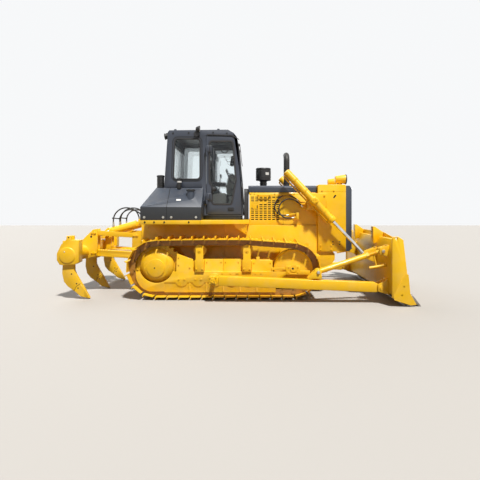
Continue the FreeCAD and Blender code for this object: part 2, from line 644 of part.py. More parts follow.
# Cab
CAB_OUTLINE = [(-1277, 1988), (-1209, 3010), (-1180, 3044), (-100, 3056), (2, 2996), (64, 2918),
               (140, 2119), (178, 1470), (-580, 1470), (-580, 1988)]
CAB_HOLLOW = [(-1228, 2038), (-1165, 2975), (-100, 2996), (-20, 2950), (22, 2880), (92, 2119),
              (130, 1520), (-530, 1520), (-530, 2038)]
DOOR_OUTLINE = [(-500, 1500), (150, 1500), (128, 2119), (60, 2890), (20, 2940), (-500, 2940)]
DOOR_WINDOW = [(-390, 2010), (-390, 1760), (-350, 1690), (-50, 1690), (-20, 1730), (40, 2119),
               (-10, 2800), (-40, 2840), (-440, 2840), (-440, 2110)]
SIDE_WINDOW = [(-1100, 2150), (-645, 2150), (-620, 2175), (-620, 2855), (-645, 2880), (-1060, 2880),
               (-1085, 2855)]
DOOR_HINGE = (-490.0, -CAB_HALF - 30.0)
HINGE_Z = (1760.0, 2640.0)
HINGE_LENGTH = 120.0
HINGE_KNUCKLE = 80.0
HINGE_R = 18.0


def grown(points, step):
    """The outline moved outwards by a step, or inwards when it is negative."""
    ring = [V(x, 0, z) for x, z in points]
    wire = Part.makePolygon(ring + ring[:1])
    return [(v.X, v.Z) for v in wire.makeOffset2D(step, 2).OrderedVertexes]


def make_cab_side():
    """Right side frame with its doorway, window and the door's outer hinge knuckles."""
    frame = side_plate(CAB_OUTLINE, -CAB_HALF, -CAB_HALF + CAB_WALL)
    doorway = side_plate(grown(DOOR_OUTLINE, DOOR_GAP), -CAB_HALF - 1, -CAB_HALF + CAB_WALL + 1)
    window = side_plate(SIDE_WINDOW, -CAB_HALF - 1, -CAB_HALF + CAB_WALL + 1)
    knuckles = []
    x, y = DOOR_HINGE
    for z in HINGE_Z:
        low = z - HINGE_KNUCKLE - SEAT_GAP
        knuckles.append(Part.makeCylinder(HINGE_R, HINGE_KNUCKLE, V(x, y, low)))
        knuckles.append(box(x - 46, x, y + 8, -CAB_HALF, low, low + HINGE_KNUCKLE))
    return fuse(frame.cut([doorway, window]), *knuckles)


CAB_FLOOR_TOP = 1520.0
CAB_SHELF_TOP = 2038.0
CAB_ROOF_LOW = 2905.0
CAB_MIDDLE = -550.0


def cab_section(x0, x1, z0, z1):
    """The part of the shell between the side frames that lies between two heights and two lengths."""
    half = CAB_HALF - CAB_WALL - SEAT_GAP
    ring = side_plate(CAB_OUTLINE, -half, half).cut(side_plate(CAB_HOLLOW, -half - 1, half + 1))
    return ring.common(box(x0, x1, -half, half, z0, z1))


def make_cab_roof():
    """Roof shell with its four lifting lugs."""
    roof = cab_section(-1400, 300, CAB_ROOF_LOW, 3100)
    lugs = []
    for x, top in ((-287, 3096), (-1090, 3088)):
        for side in (-1, 1):
            y0, y1 = sorted((side * (CAB_HALF - 130), side * (CAB_HALF - 110)))
            lugs.append(side_plate([(x - 45, 3040), (x + 45, 3040), (x + 20, top), (x - 20, top)], y0, y1))
    return fuse(roof, *lugs)


def make_cab_floor():
    """Floor pan, the riser behind the seat and the shelf over the tanks."""
    return cab_section(-1400, 300, 1400, CAB_FLOOR_TOP).fuse(
        cab_section(-1400, -CAB_WALL, CAB_FLOOR_TOP, CAB_SHELF_TOP)).removeSplitter()


def make_cab_front():
    """Front frame: the windscreen's opening above the two lower lights."""
    front = cab_section(-CAB_WALL, 300, CAB_FLOOR_TOP + SEAT_GAP, CAB_ROOF_LOW - SEAT_GAP)
    half = CAB_HALF - 140
    return front.cut([box(-20, 300, -half, half, 2130, 2860), box(-20, 300, -half, -240, 1720, 2060),
                      box(-20, 300, 240, half, 1720, 2060)])


def make_cab_rear():
    """Rear frame with its window's opening."""
    rear = cab_section(-1400, CAB_MIDDLE, CAB_SHELF_TOP + SEAT_GAP, CAB_ROOF_LOW - SEAT_GAP)
    return rear.cut(box(-1400, -1100, -CAB_HALF + 160, CAB_HALF - 160, 2160, 2850))


def make_cab_base():
    return box(CAB_REAR_STEP, 140, -CAB_HALF + 40, CAB_HALF - 40, FENDER_TOP + SEAT_GAP, 1470 - SEAT_GAP)


def make_door():
    """Right door: one thick panel with its window cut, and its hinge barrels."""
    door = side_plate(DOOR_OUTLINE, -CAB_HALF, -CAB_HALF + CAB_WALL)
    door = door.cut(side_plate(DOOR_WINDOW, -CAB_HALF - 1, -CAB_HALF + CAB_WALL + 1))
    x, y = DOOR_HINGE
    pieces = []
    for z in HINGE_Z:
        pieces.append(Part.makeCylinder(HINGE_R, HINGE_LENGTH, V(x, y, z)))
        pieces.append(box(x, x + 90, y + 8, -CAB_HALF, z, z + HINGE_LENGTH))
    return fuse(door, *pieces)


def make_door_glass():
    inset = grown(DOOR_WINDOW, -0.3)
    return side_plate(inset, -CAB_HALF + 18, -CAB_HALF + 24)


def make_cab_glass():
    side = side_plate(grown(SIDE_WINDOW, -0.3), -CAB_HALF + 18, -CAB_HALF + 24)
    rear_x, half = -1215, CAB_HALF - 160.3
    panes = [side, mirrored(side), box(rear_x, rear_x + 6, -half, half, 2160.3, 2849.7)]
    return Part.makeCompound(panes)


def make_seat():
    base = box(-440, -120, -220, 220, 1520.3, 1760)
    cushion = box(-500, -70, -260, 260, 1760, 1900)
    back = side_plate([(-525, 1850), (-380, 1850), (-430, 2560), (-525, 2560)], -250, 250)
    return fuse(base, cushion, back)


def make_console():
    return side_plate([(-10, 1520.3), (110, 1520.3), (80, 2000), (60, 2090), (-30, 2060)], -330, 330)


def make_exhaust():
    """Upright exhaust pipe whose mitred elbow bends over to the left."""
    end = V(EXHAUST_X, 0, HOOD_TOP + SEAT_GAP)
    corners = [end]
    for lean, length in EXHAUST_RUNS:
        end = end + V(0, math.sin(math.radians(lean)), math.cos(math.radians(lean))) * length
        corners.append(end)
    ring = Part.Wire(Part.makeCircle(EXHAUST_R, corners[0], V(0, 0, 1)))
    return Part.Wire(Part.makePolygon(corners).Edges).makePipeShell([ring], True, False, 1)


def make_pre_cleaner():
    x = 570.0
    stem = Part.makeCylinder(68, 140, V(x, 0, HOOD_TOP + SEAT_GAP))
    bowl = Part.makeCylinder(152, 260, V(x, 0, 2170))
    return fuse(stem, bowl)


def make_head_lamps():
    """Flared lamp buckets on feet, above the radiator guard's front corners."""
    lamps = []
    for y in (-LAMP_Y, LAMP_Y):
        axis = V(0, y, LAMP_Z)
        ring = [axis + V(x, 0, radius) for x, radius in
                ((1944, 0), (1944, 62), (2144, LAMP_R), (2144, 0))]
        bucket = Part.Face(Part.makePolygon(ring + ring[:1])).revolve(axis, V(1, 0, 0), 360)
        foot = side_plate([(1960, GUARD_TOP + SEAT_GAP), (2080, GUARD_TOP + SEAT_GAP), (2050, LAMP_Z - 40),
                           (1990, LAMP_Z - 40)], y - 30, y + 30)
        lamps.append(fuse(bucket, foot))
    return Part.makeCompound(lamps)


def make_work_lamps():
    """Round lamps on the roof's sides and at its rear corners."""
    lamps = []
    for side in (-1, 1):
        y0, y1 = sorted((side * (CAB_HALF + SEAT_GAP), side * (CAB_HALF + 60)))
        lamps.append(round_y((-638, 2988), 50, y0, y1))
        lamps.append(Part.makeCylinder(50, 70, V(-1286, side * (CAB_HALF - 180), 2962), V(1, 0, 0)))
    return Part.makeCompound(lamps)


def make_beacon():
    return Part.makeCylinder(42, 150, V(-560, 0, 3051.6))


# Blade

def blade_body(half):
    """Closed box section of the blade, with its curved front skin, between two places."""
    a, mid, b = V(2900, -half, 170), V(2735, -half, 600), V(2800, -half, 1085)
    front = Part.Arc(a, mid, b).toShape()
    back_points = [b, V(2700, -half, 1085), V(2630, -half, 900), V(2620, -half, 200), V(2780, -half, 90), a]
    wire = Part.Wire([front] + Part.makePolygon(back_points).Edges)
    return Part.Face(wire).extrude(V(0, 2 * half, 0))


def make_mouldboard():
    """The blade's box between its end plates, with the raised spill guard along its top."""
    crest = cross_plate([(-1400, 1080), (1400, 1080), (680, 1170), (-680, 1170)], 2780, 2800)
    return fuse(blade_body(BLADE_HALF - END_PLATE_THICK - SEAT_GAP), crest)


def make_end_plate():
    """Right end plate, with the lifting eye in its ear."""
    outer, inner = -BLADE_HALF, -BLADE_HALF + END_PLATE_THICK
    end = side_plate([(2613, 148), (2613, 1106), (2640, 1140), (2710, 1140), (2796, 1085), (2860, 530),
                      (2906, 215), (2930, 150), (2780, 70), (2650, 126)], outer, inner)
    return end.cut(round_y(BLADE_EYE, BLADE_EYE_R, outer - 1, inner + 1))


def clevis(outline, pad, middle, gap, thick, pin=None, pin_r=0.0):
    """Two ears on a pad, the ears a gap apart about a middle, with their pin where they carry it."""
    pieces = [side_plate(pad, middle - gap / 2 - thick, middle + gap / 2 + thick)]
    for y in (middle - gap / 2 - thick, middle + gap / 2):
        pieces.append(side_plate(outline, y, y + thick))
    if pin:
        pieces.append(round_y(pin, pin_r, middle - gap / 2 - thick, middle + gap / 2 + thick))
    return fuse(pieces[0], *pieces[1:])


def make_blade_brackets():
    """On the blade's back: ears for the lift rods, braces and push arms, and the crest's two horns."""
    x, z = LIFT_PIN
    lift = clevis([(x - 60, z - 40), (x - 60, z + 40), (x + 10, z + 80), (2640, 900), (2640, 600)],
                  [(2600, 600), (2640, 600), (2640, 900), (2606, 900)], -LIFT_Y, ROD_GAP, 25)
    x, z = BRACE_HIGH
    brace = clevis([(x - 60, z - 50), (x - 60, z + 50), (2640, z + 100), (2640, z - 100)],
                   [(2610, z - 100), (2640, z - 100), (2640, z + 100), (2610, z + 100)],
                   -ARM_Y, BRACE_GAP, 28)
    x, z = ARM_FRONT
    arm = clevis([(x - 60, 210), (x - 60, 330), (2640, 420), (2640, 150)],
                 [(2600, 180), (2640, 180), (2640, 420), (2600, 420)],
                 -ARM_Y, ARM_WIDTH + 2, 29, ARM_FRONT, 30)
    horn = side_plate([(2586, 1000), (2586, 1271), (2622, 1271), (2779, 1165), (2779, 1027), (2600, 950)],
                      -HORN_Y - 20, -HORN_Y + 20)
    flange = side_plate([(2574, 1000), (2586, 1000), (2586, 1271), (2574, 1271)], -HORN_Y - 75, -HORN_Y + 75)
    body = blade_body(BLADE_HALF)
    pieces = [piece.cut(body) for piece in (lift, brace, arm, fuse(horn, flange))]
    return Part.makeCompound(pieces + [mirrored(piece) for piece in pieces])


def make_blade_edge():
    """Bolted cutting edge in two layers, with its tip on the ground."""
    half = BLADE_HALF - END_PLATE_THICK
    return side_plate([(2903, 170), (2960, 187), (3100, 0), (3060, 0), (2935, 135)], -half, half)


def make_push_arm():
    """Right push arm: a box beam from the split block on its rear pin to the pin on the blade."""
    y0, y1 = -ARM_Y - ARM_WIDTH / 2, -ARM_Y + ARM_WIDTH / 2
    px, pz = ARM_PIVOT
    block = box(px - 61, px + 63, y0, y1, pz - 68, pz + 67)
    neck = box(px + 63, px + 97, y0 + 15, y1 - 15, pz - 52, pz + 55)
    beam = side_plate([(px + 97, 303), (px + 97, 457), (2410, 352), (2460, 330), (2460, 200),
                       (2410, 190)], y0, y1)
    tongue = strip((2400, 270), ARM_FRONT, 110, y0 + 20, y1 - 20, 0, 50)
    x, z = BRACE_LOW
    ears = []
    for low in (-ARM_Y - BRACE_GAP / 2 - 24, -ARM_Y + BRACE_GAP / 2):
        ears.append(side_plate([(x - 184, z - 110), (x + 64, z - 110), (x + 45, z + 40), (x - 45, z + 40)],
                               low, low + 24))
    arm = fuse(beam, block, neck, tongue, *ears)
    return arm.cut([round_y(ARM_FRONT, 30.5, y0, y1), round_y(ARM_PIVOT, ARM_PIN_R + 0.5, y0 - 1, y1 + 1)])


def make_arm_trunnion():
    """Pin of the right push arm, out from the track frame's skirt, with the plate that keeps it on."""
    face = -TRACK_Y - FRAME_HALF_WIDTH
    outer = -ARM_Y - ARM_WIDTH / 2
    pin = round_y(ARM_PIVOT, ARM_PIN_R, outer - 12, face)
    keeper = round_y(ARM_PIVOT, ARM_PIN_R + 6, outer - 12, outer - 1)
    return fuse(pin, keeper, round_y(ARM_PIVOT, ARM_PIN_R + 30, face - 12, face))


def make_brace():
    """Right brace: a tube with a tapered screw end, pinned between the push arm and the blade's back."""
    length = math.hypot(BRACE_HIGH[0] - BRACE_LOW[0], BRACE_HIGH[1] - BRACE_LOW[1])
    tube_end = length - 250
    half = BRACE_GAP / 2 - SEAT_GAP
    pieces = [bar(BRACE_LOW, BRACE_HIGH, BRACE_DIA / 2, -ARM_Y, 50, tube_end),
              bar(BRACE_LOW, BRACE_HIGH, 32, -ARM_Y, tube_end, length - 40),
              round_y(BRACE_LOW, 62, -ARM_Y - half, -ARM_Y + half),
              round_y(BRACE_HIGH, 62, -ARM_Y - half, -ARM_Y + half)]
    return fuse(pieces[0], *pieces[1:])


def make_lift_yoke():
    """Right lift trunnion bracket on the radiator guard's side."""
    x, z = LIFT_TRUNNION
    plate = side_plate([(x - 110, z - 170), (x + 260, z - 170), (x + 260, z + 150), (x - 60, z + 150),
                        (x - 110, z + 60)], -HOOD_HALF - YOKE_REACH, -HOOD_HALF - SEAT_GAP)
    pin = round_y((x, z), 40, -LIFT_Y + 95, -HOOD_HALF - YOKE_REACH)
    plate = plate.cut(box(GUARD_REAR - SEAT_GAP, 2200, -GUARD_HALF - SEAT_GAP, 0, 700, 2200))
    stems = []
    for route in (LIFT_HOSE_LOW, LIFT_HOSE_HIGH):
        first, second = hose_points(route, -HOOD_HALF)[:2]
        nut = hex_fitting(first, second, HOSE_DIA, FITTING_LENGTH)
        inner = first + (first - second).normalize() * (FITTING_LENGTH - 16)
        stems += [nut, bar((inner.x, inner.z), (x - 100, inner.z), 14, inner.y)]
    return fuse(plate, pin, *stems)


def make_hose_bracket():
    """Bracket on the right hood side that holds the lower ends of the lift hoses."""
    plate = box(1120, 1240, -HOOD_HALF - 12, -HOOD_HALF - SEAT_GAP, 1390, 1540)
    block = box(1170, 1218, -HOOD_HALF - 110, -HOOD_HALF - 12, 1405, 1530)
    ends = []
    for route in (LIFT_HOSE_LOW, LIFT_HOSE_HIGH):
        before, last = hose_points(route, -HOOD_HALF)[-2:]
        ends.append(hex_fitting(last, before, HOSE_DIA, 1180 - last.x))
    return fuse(plate, block, *ends)


def make_lift_barrel():
    """Right lift barrel, turned in one with its gland and collar, and the trunnion it swings on."""
    x, z = LIFT_TRUNNION
    y = -LIFT_Y
    r = LIFT_BARREL_DIA / 2
    length = math.hypot(LIFT_PIN[0] - x, LIFT_PIN[1] - z)
    ux, uz = (LIFT_PIN[0] - x) / length, (LIFT_PIN[1] - z) / length
    head = (x - ux * LIFT_BARREL_ABOVE, z - uz * LIFT_BARREL_ABOVE)
    whole = LIFT_BARREL_ABOVE + LIFT_BARREL_BELOW
    pieces = [bar(head, LIFT_PIN, r, y, 0, whole),
              bar(head, LIFT_PIN, r + 12, y, whole - 70, whole),
              bar(head, LIFT_PIN, r + 18, y, LIFT_BARREL_ABOVE - 60, LIFT_BARREL_ABOVE + 60),
              round_y((x, z), 56, y - 100, y + 94.7)]
    barrel = fuse(pieces[0], *pieces[1:])
    return barrel.cut(bar(head, LIFT_PIN, LIFT_ROD_DIA / 2 + 0.5, y, 60, whole + 1))


def make_lift_rod():
    """Right lift rod, whose eye carries its own short pin between the blade's ears."""
    x, z = LIFT_TRUNNION
    y = -LIFT_Y
    length = math.hypot(LIFT_PIN[0] - x, LIFT_PIN[1] - z)
    rod = bar(LIFT_TRUNNION, LIFT_PIN, LIFT_ROD_DIA / 2, y, LIFT_BARREL_BELOW - LIFT_ROD_HIDDEN, length)
    eye = round_y(LIFT_PIN, 58, y - ROD_GAP / 2 + PIN_GAP, y + ROD_GAP / 2 - PIN_GAP)
    return fuse(rod, eye)


# Ripper
LINK_LOW = (RIPPER_LOW[0] + RIPPER_LINK[0], RIPPER_LOW[1] + RIPPER_LINK[1])
LINK_UP = (RIPPER_UP[0] + RIPPER_LINK[0], RIPPER_UP[1] + RIPPER_LINK[1])


def make_ripper_lower_arm():
    """Lower arm: two beams joined by a plate."""
    pieces = []
    for side in (-1, 1):
        y0, y1 = sorted((side * (RIPPER_ARM_Y - RIPPER_ARM_HALF), side * (RIPPER_ARM_Y + RIPPER_ARM_HALF)))
        pieces += [strip(RIPPER_LOW, LINK_LOW, 130, y0, y1), round_y(RIPPER_LOW, 68, y0, y1),
                   round_y(LINK_LOW, 68, y0, y1)]
    web = strip(RIPPER_LOW, LINK_LOW, 60, -RIPPER_ARM_Y, RIPPER_ARM_Y, -160, -110)
    arm = fuse(web, *pieces)
    wide = RIPPER_ARM_Y + RIPPER_ARM_HALF + 1
    return arm.cut([round_y(RIPPER_LOW, 32.5, -wide, wide), round_y(LINK_LOW, 32.5, -wide, wide)])


def make_ripper_upper_links():
    links = []
    for side in (-1, 1):
        y0, y1 = sorted((side * (RIPPER_ARM_Y - RIPPER_ARM_HALF), side * (RIPPER_ARM_Y + RIPPER_ARM_HALF)))
        link = fuse(strip(RIPPER_UP, LINK_UP, 92, y0 + 15, y1 - 15), round_y(RIPPER_UP, 58, y0, y1),
                    round_y(LINK_UP, 58, y0, y1))
        links.append(link.cut([round_y(pin, 32.5, y0 - 1, y1 + 1) for pin in (RIPPER_UP, LINK_UP)]))
    return Part.makeCompound(links)


# The plate beside each pair of links, the shank's holder and the shank, in X and Z
LINK_PLATE = [(-2965, 938), (-2696, 1207), (-2607, 1220), (-2610, 840), (-2620, 709), (-2824, 644),
              (-2960, 700)]
HOLDER_OUTLINE = [(-2921, 1056), (-2921, 1121), (-2838, 1121), (-2838, 1045), (-2703, 1045), (-2703, 656),
                  (-2770, 620), (-2974, 603), (-3040, 612), (-3090, 692), (-3090, 809), (-3050, 892),
                  (-3015, 968)]
SHANK_OUTLINE = [(-3010, 1030), (-3010, 585), (-3018, 457), (-2986, 307), (-2915, 220), (-2835, 164),
                 (-2692, 61), (-2540, 12), (-2534, 22), (-2646, 220), (-2708, 323), (-2772, 434),
                 (-2804, 505), (-2811, 1030)]


def make_ripper_carriage():
    """The tool beam: a cross tube, its link plates, the cylinders' ears and the shanks' holders."""
    pieces = [round_y(RIPPER_BEAM, RIPPER_BEAM_R, -RIPPER_BEAM_HALF, RIPPER_BEAM_HALF)]
    for side in (-1, 1):
        for low in (RIPPER_ARM_Y - RIPPER_ARM_GAP / 2 - RIPPER_EAR, RIPPER_ARM_Y + RIPPER_ARM_GAP / 2):
            pieces.append(side_plate(LINK_PLATE, *sorted((side * low, side * (low + RIPPER_EAR)))))
        reach = RIPPER_ARM_GAP / 2 + RIPPER_EAR
        ends = sorted((side * (RIPPER_ARM_Y - reach), side * (RIPPER_ARM_Y + reach)))
        pieces += [round_y(LINK_LOW, 32, *ends), round_y(LINK_UP, 32, *ends)]
        for low in (RIPPER_CYL_Y - RIPPER_CYL_GAP / 2 - 25, RIPPER_CYL_Y + RIPPER_CYL_GAP / 2):
            y0, y1 = sorted((side * low, side * (low + 25)))
            pieces.append(strip(RIPPER_BEAM, RIPPER_PIN, 120, y0, y1, 0, 55))
    for y in SHANK_Y:
        pieces.append(side_plate(HOLDER_OUTLINE, y - HOLDER_HALF, y + HOLDER_HALF))
    carriage = fuse(pieces[0], *pieces[1:])
    slots = [box(-3018.3, -2803.7, y - SHANK_THICK / 2 - SEAT_GAP, y + SHANK_THICK / 2 + SEAT_GAP, 500, 1200)
             for y in SHANK_Y]
    return carriage.cut(slots)


def make_ripper_shanks():
    shanks = []
    for y in SHANK_Y:
        shanks.append(side_plate(SHANK_OUTLINE, y - SHANK_THICK / 2, y + SHANK_THICK / 2))
    return Part.makeCompound(shanks)


def make_ripper_barrel(y):
    """One ripper barrel on its trunnion eye, with the ports and the block that its two hoses join."""
    length = math.hypot(RIPPER_PIN[0] - RIPPER_TRUNNION[0], RIPPER_PIN[1] - RIPPER_TRUNNION[1])
    share = 130 / length
    neck = (RIPPER_TRUNNION[0] + (RIPPER_PIN[0] - RIPPER_TRUNNION[0]) * share,
            RIPPER_TRUNNION[1] + (RIPPER_PIN[1] - RIPPER_TRUNNION[1]) * share)
    half = RIPPER_CYL_GAP / 2 - 5
    pieces = [bar(RIPPER_TRUNNION, RIPPER_PIN, RIPPER_BARREL_DIA / 2, y, 120, RIPPER_BARREL_LENGTH),
              bar(RIPPER_TRUNNION, RIPPER_PIN, RIPPER_BARREL_DIA / 2 + 10, y, RIPPER_BARREL_LENGTH - 60,
                  RIPPER_BARREL_LENGTH),
              round_y(RIPPER_TRUNNION, 46, y - half, y + half),
              strip(RIPPER_TRUNNION, neck, 80, y - half, y + half),
              box(-1895, -1808, y - half, y + half, RIPPER_TRUNNION[1] + 10, RIPPER_TRUNNION[1] + 38)]
    for route, offset in ((RIPPER_HOSE_ROD, -HOSE_SPREAD), (RIPPER_HOSE_HEAD, HOSE_SPREAD)):
        points = hose_points(route, y + offset)
        first, last = points[0], points[-1]
        pieces.append(hex_fitting(first, points[1], HOSE_DIA, first.z - 1235))
        pieces.append(hex_fitting(last, points[-2], HOSE_DIA, 45))
    barrel = fuse(pieces[0], *pieces[1:])
    bore = bar(RIPPER_TRUNNION, RIPPER_PIN, RIPPER_ROD_DIA / 2 + 0.5, y, 132, RIPPER_BARREL_LENGTH + 1)
    return barrel.cut([bore, round_y(RIPPER_TRUNNION, 28.5, y - 90, y + 90)])


def make_ripper_rods():
    rods = []
    for y in (-RIPPER_CYL_Y, RIPPER_CYL_Y):
        length = math.hypot(RIPPER_PIN[0] - RIPPER_TRUNNION[0], RIPPER_PIN[1] - RIPPER_TRUNNION[1])
        start = RIPPER_BARREL_LENGTH - RIPPER_ROD_HIDDEN
        half = RIPPER_CYL_GAP / 2 - PIN_GAP
        rods.append(fuse(bar(RIPPER_TRUNNION, RIPPER_PIN, RIPPER_ROD_DIA / 2, y, start, length),
                         round_y(RIPPER_PIN, 48, y - half, y + half)))
    return Part.makeCompound(rods)


def make_hoses():
    """Two hoses to each lift cylinder and two to each ripper cylinder."""
    hoses = {}
    for key, route in (("low", LIFT_HOSE_LOW), ("high", LIFT_HOSE_HIGH)):
        hose = make_hose("lift hose " + key, hose_points(route, -HOOD_HALF))
        hoses["lift_hose_right_" + key] = hose
        hoses["lift_hose_left_" + key] = mirrored(hose)
    for key, route, offset in (("rod", RIPPER_HOSE_ROD, -HOSE_SPREAD),
                               ("head", RIPPER_HOSE_HEAD, HOSE_SPREAD)):
        for side, y in (("right", -RIPPER_CYL_Y), ("left", RIPPER_CYL_Y)):
            hose = make_hose("ripper hose " + key, hose_points(route, y + offset))
            hoses["ripper_hose_" + side + "_" + key] = hose
    return hoses


def build():
    track, frame = make_track(), fuse(make_track_frame(), make_arm_trunnion())
    door, door_glass = make_door(), make_door_glass()
    pieces = {
        "track_right": track, "track_left": mirrored(track),
        "track_frames": both(frame), "sprockets": both(make_sprocket()), "idlers": both(make_idler()),
        "track_rollers": make_track_rollers(), "carrier_rollers": make_carrier_rollers(),
        "main_frame": make_main_frame(), "ripper_bracket": make_ripper_bracket(),
        "engine_block": make_engine_block(),
        "radiator_guard": make_radiator_guard(), "radiator_grille": make_radiator_grille(),
        "hood_cover": make_hood_cover(), "hood_sides": both(make_hood_side()),
        "fenders": both(make_fender()), "tanks": both(make_tank()), "tank_breathers": make_tank_breathers(),
        "cab_base": make_cab_base(), "cab_floor": make_cab_floor(), "cab_sides": both(make_cab_side()),
        "cab_front": make_cab_front(), "cab_rear": make_cab_rear(), "cab_roof": make_cab_roof(),
        "cab_glass": make_cab_glass(),
        "door_right": door, "door_left": mirrored(door),
        "door_glass_right": door_glass, "door_glass_left": mirrored(door_glass),
        "seat": make_seat(), "console": make_console(),
        "exhaust_pipe": make_exhaust(), "pre_cleaner": make_pre_cleaner(),
        "head_lamps": make_head_lamps(), "work_lamps": make_work_lamps(), "beacon": make_beacon(),
        "mouldboard": make_mouldboard(), "blade_end_plates": both(make_end_plate()),
        "blade_brackets": make_blade_brackets(), "blade_edge": make_blade_edge(),
        "push_arms": both(make_push_arm()), "braces": both(make_brace()),
        "lift_yokes": both(make_lift_yoke()), "hose_brackets": both(make_hose_bracket()),
        "lift_barrels": both(make_lift_barrel()), "lift_rods": both(make_lift_rod()),
        "ripper_lower_arm": make_ripper_lower_arm(), "ripper_upper_links": make_ripper_upper_links(),
        "ripper_carriage": make_ripper_carriage(), "ripper_shanks": make_ripper_shanks(),
        "ripper_barrels": Part.makeCompound([make_ripper_barrel(y) for y in (-RIPPER_CYL_Y, RIPPER_CYL_Y)]),
        "ripper_rods": make_ripper_rods(),
    }
    pieces.update(make_hoses())
    return pieces


if __name__ == "__main__":
    os.makedirs("parts", exist_ok=True)
    print("track pitch", round(PITCH, 2))
    for name, shape in build().items():
        print(name, len(shape.Solids), shape.isValid())
        shape.exportStep("parts/" + name + ".step")
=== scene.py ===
import json
import math

import bmesh
import bpy
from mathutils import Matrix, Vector

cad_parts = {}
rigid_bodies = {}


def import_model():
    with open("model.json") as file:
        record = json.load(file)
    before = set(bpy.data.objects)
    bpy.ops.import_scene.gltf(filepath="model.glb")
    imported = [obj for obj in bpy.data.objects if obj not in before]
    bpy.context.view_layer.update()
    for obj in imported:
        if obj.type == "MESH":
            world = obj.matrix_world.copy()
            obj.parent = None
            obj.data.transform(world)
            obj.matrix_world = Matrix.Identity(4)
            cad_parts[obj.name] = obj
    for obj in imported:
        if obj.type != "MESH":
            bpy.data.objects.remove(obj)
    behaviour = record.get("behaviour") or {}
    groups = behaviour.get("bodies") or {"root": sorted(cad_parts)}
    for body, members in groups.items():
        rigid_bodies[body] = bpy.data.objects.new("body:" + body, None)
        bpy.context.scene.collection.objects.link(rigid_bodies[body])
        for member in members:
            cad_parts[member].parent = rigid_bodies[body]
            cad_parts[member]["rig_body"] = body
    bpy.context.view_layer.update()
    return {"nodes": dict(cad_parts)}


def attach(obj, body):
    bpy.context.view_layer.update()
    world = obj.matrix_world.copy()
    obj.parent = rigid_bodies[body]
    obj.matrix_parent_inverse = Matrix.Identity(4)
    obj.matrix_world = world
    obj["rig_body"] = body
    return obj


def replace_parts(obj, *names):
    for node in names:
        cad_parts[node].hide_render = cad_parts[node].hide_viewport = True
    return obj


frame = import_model()
NODES = frame["nodes"]
SCENE = bpy.context.scene

# Camera, level at a standing photographer's eye height, square to the machine's right side.
# Its frame is shifted a little, as the photograph's is.
CAMERA_PLACE = (0.34, -8.5, 1.54)
CAMERA_LENS = 31.5
SENSOR_WIDTH = 36.0
CAMERA_SHIFT = (-0.025, -0.0583)


def link_object(name, data):
    """A new object in the scene."""
    piece = bpy.data.objects.new(name, data)
    SCENE.collection.objects.link(piece)
    return piece


camera_data = bpy.data.cameras.new("camera")
camera_data.lens, camera_data.sensor_width = CAMERA_LENS, SENSOR_WIDTH
camera_data.shift_x, camera_data.shift_y = CAMERA_SHIFT
camera_data.clip_end = 200.0
camera = link_object("camera", camera_data)
camera.location = CAMERA_PLACE
camera.rotation_euler = (math.radians(90), 0, 0)
SCENE.camera = camera
SCENE.view_settings.view_transform = "Standard"

# Studio floor and light. The floor is pale, and one soft lamp stands high over the machine's right
# side, towards the blade, as the sun does in the photograph. A weaker one behind and a pale world,
# cool above and warm towards the floor, fill the shadows.
FLOOR_HALF = 40.0
FLOOR_COLOUR = (0.44, 0.42, 0.395)
FLOOR_BOUNCE = (0.14, 0.115, 0.085)
SKY_COLOUR = (0.74, 0.85, 1.0)
LOW_COLOUR = (1.0, 0.80, 0.64)
FILL_STRENGTH = 0.20
BACKDROP_COLOUR = (0.93, 0.94, 0.95)
# Each lamp: its name, the way it comes from, its strength, its softness in degrees, its colour
LAMPS = (("key", (0.50, -1.10, 2.10), 5.0, 5, (1.0, 0.97, 0.92)),
         ("back_light", (-0.90, 1.00, 1.00), 1.3, 50, (0.92, 0.96, 1.0)))


class Wiring:
    """Short calls for the nodes that the floor, the light and the finishes use."""

    def __init__(self, tree):
        self.nodes, self.links = tree.nodes, tree.links
        self.coordinates = self.node("TexCoord", {}).outputs
        self.where = self.coordinates["Object"]

    def fill(self, node, values):
        """Sets or links a node's inputs, each given by its name or number."""
        for key, value in values.items():
            socket = node.inputs[key]
            if isinstance(value, bpy.types.NodeSocket):
                self.links.new(value, socket)
            else:
                socket.default_value = (*value, 1) if socket.type == "RGBA" else value
        return node

    def node(self, kind, values, **settings):
        node = self.nodes.new("ShaderNode" + kind)
        for name, setting in settings.items():
            setattr(node, name, setting)
        return self.fill(node, values)

    def noise(self, scale, detail=2.0, rough=0.5, stretch=None):
        where = self.where
        if stretch:
            where = self.node("Mapping", {"Vector": where, "Scale": stretch}).outputs[0]
        return self.node("TexNoise", {"Vector": where, "Scale": scale, "Detail": detail,
                                      "Roughness": rough}).outputs["Fac"]

    def waves(self, direction, scale, distortion=0.0):
        return self.node("TexWave", {"Vector": self.where, "Scale": scale, "Distortion": distortion},
                         bands_direction=direction).outputs["Fac"]

    def ranged(self, value, low, high, to_low=0.0, to_high=1.0):
        return self.node("MapRange", {0: value, 1: low, 2: high, 3: to_low, 4: to_high}).outputs[0]

    def maths(self, kind, first, second):
        return self.node("Math", {0: first, 1: second}, operation=kind).outputs[0]

    def blend(self, amount, first, second):
        return self.node("Mix", {"Factor": amount, "A": first, "B": second}, data_type="RGBA").outputs["Result"]

    def axis(self, vector, name):
        return self.node("SeparateXYZ", {0: vector}).outputs[name]


class Finish(Wiring):
    """A material, with the plain settings of its shader."""

    def __init__(self, name, settings):
        self.material = bpy.data.materials.new(name)
        self.material.use_nodes = True
        super().__init__(self.material.node_tree)
        self.feed(settings)

    def feed(self, values):
        self.fill(self.nodes["Principled BSDF"], values)

    def relief(self, height, distance, strength=1.0):
        bump = self.node("Bump", {"Strength": strength, "Distance": distance, "Height": height})
        self.feed({"Normal": bump.outputs["Normal"]})


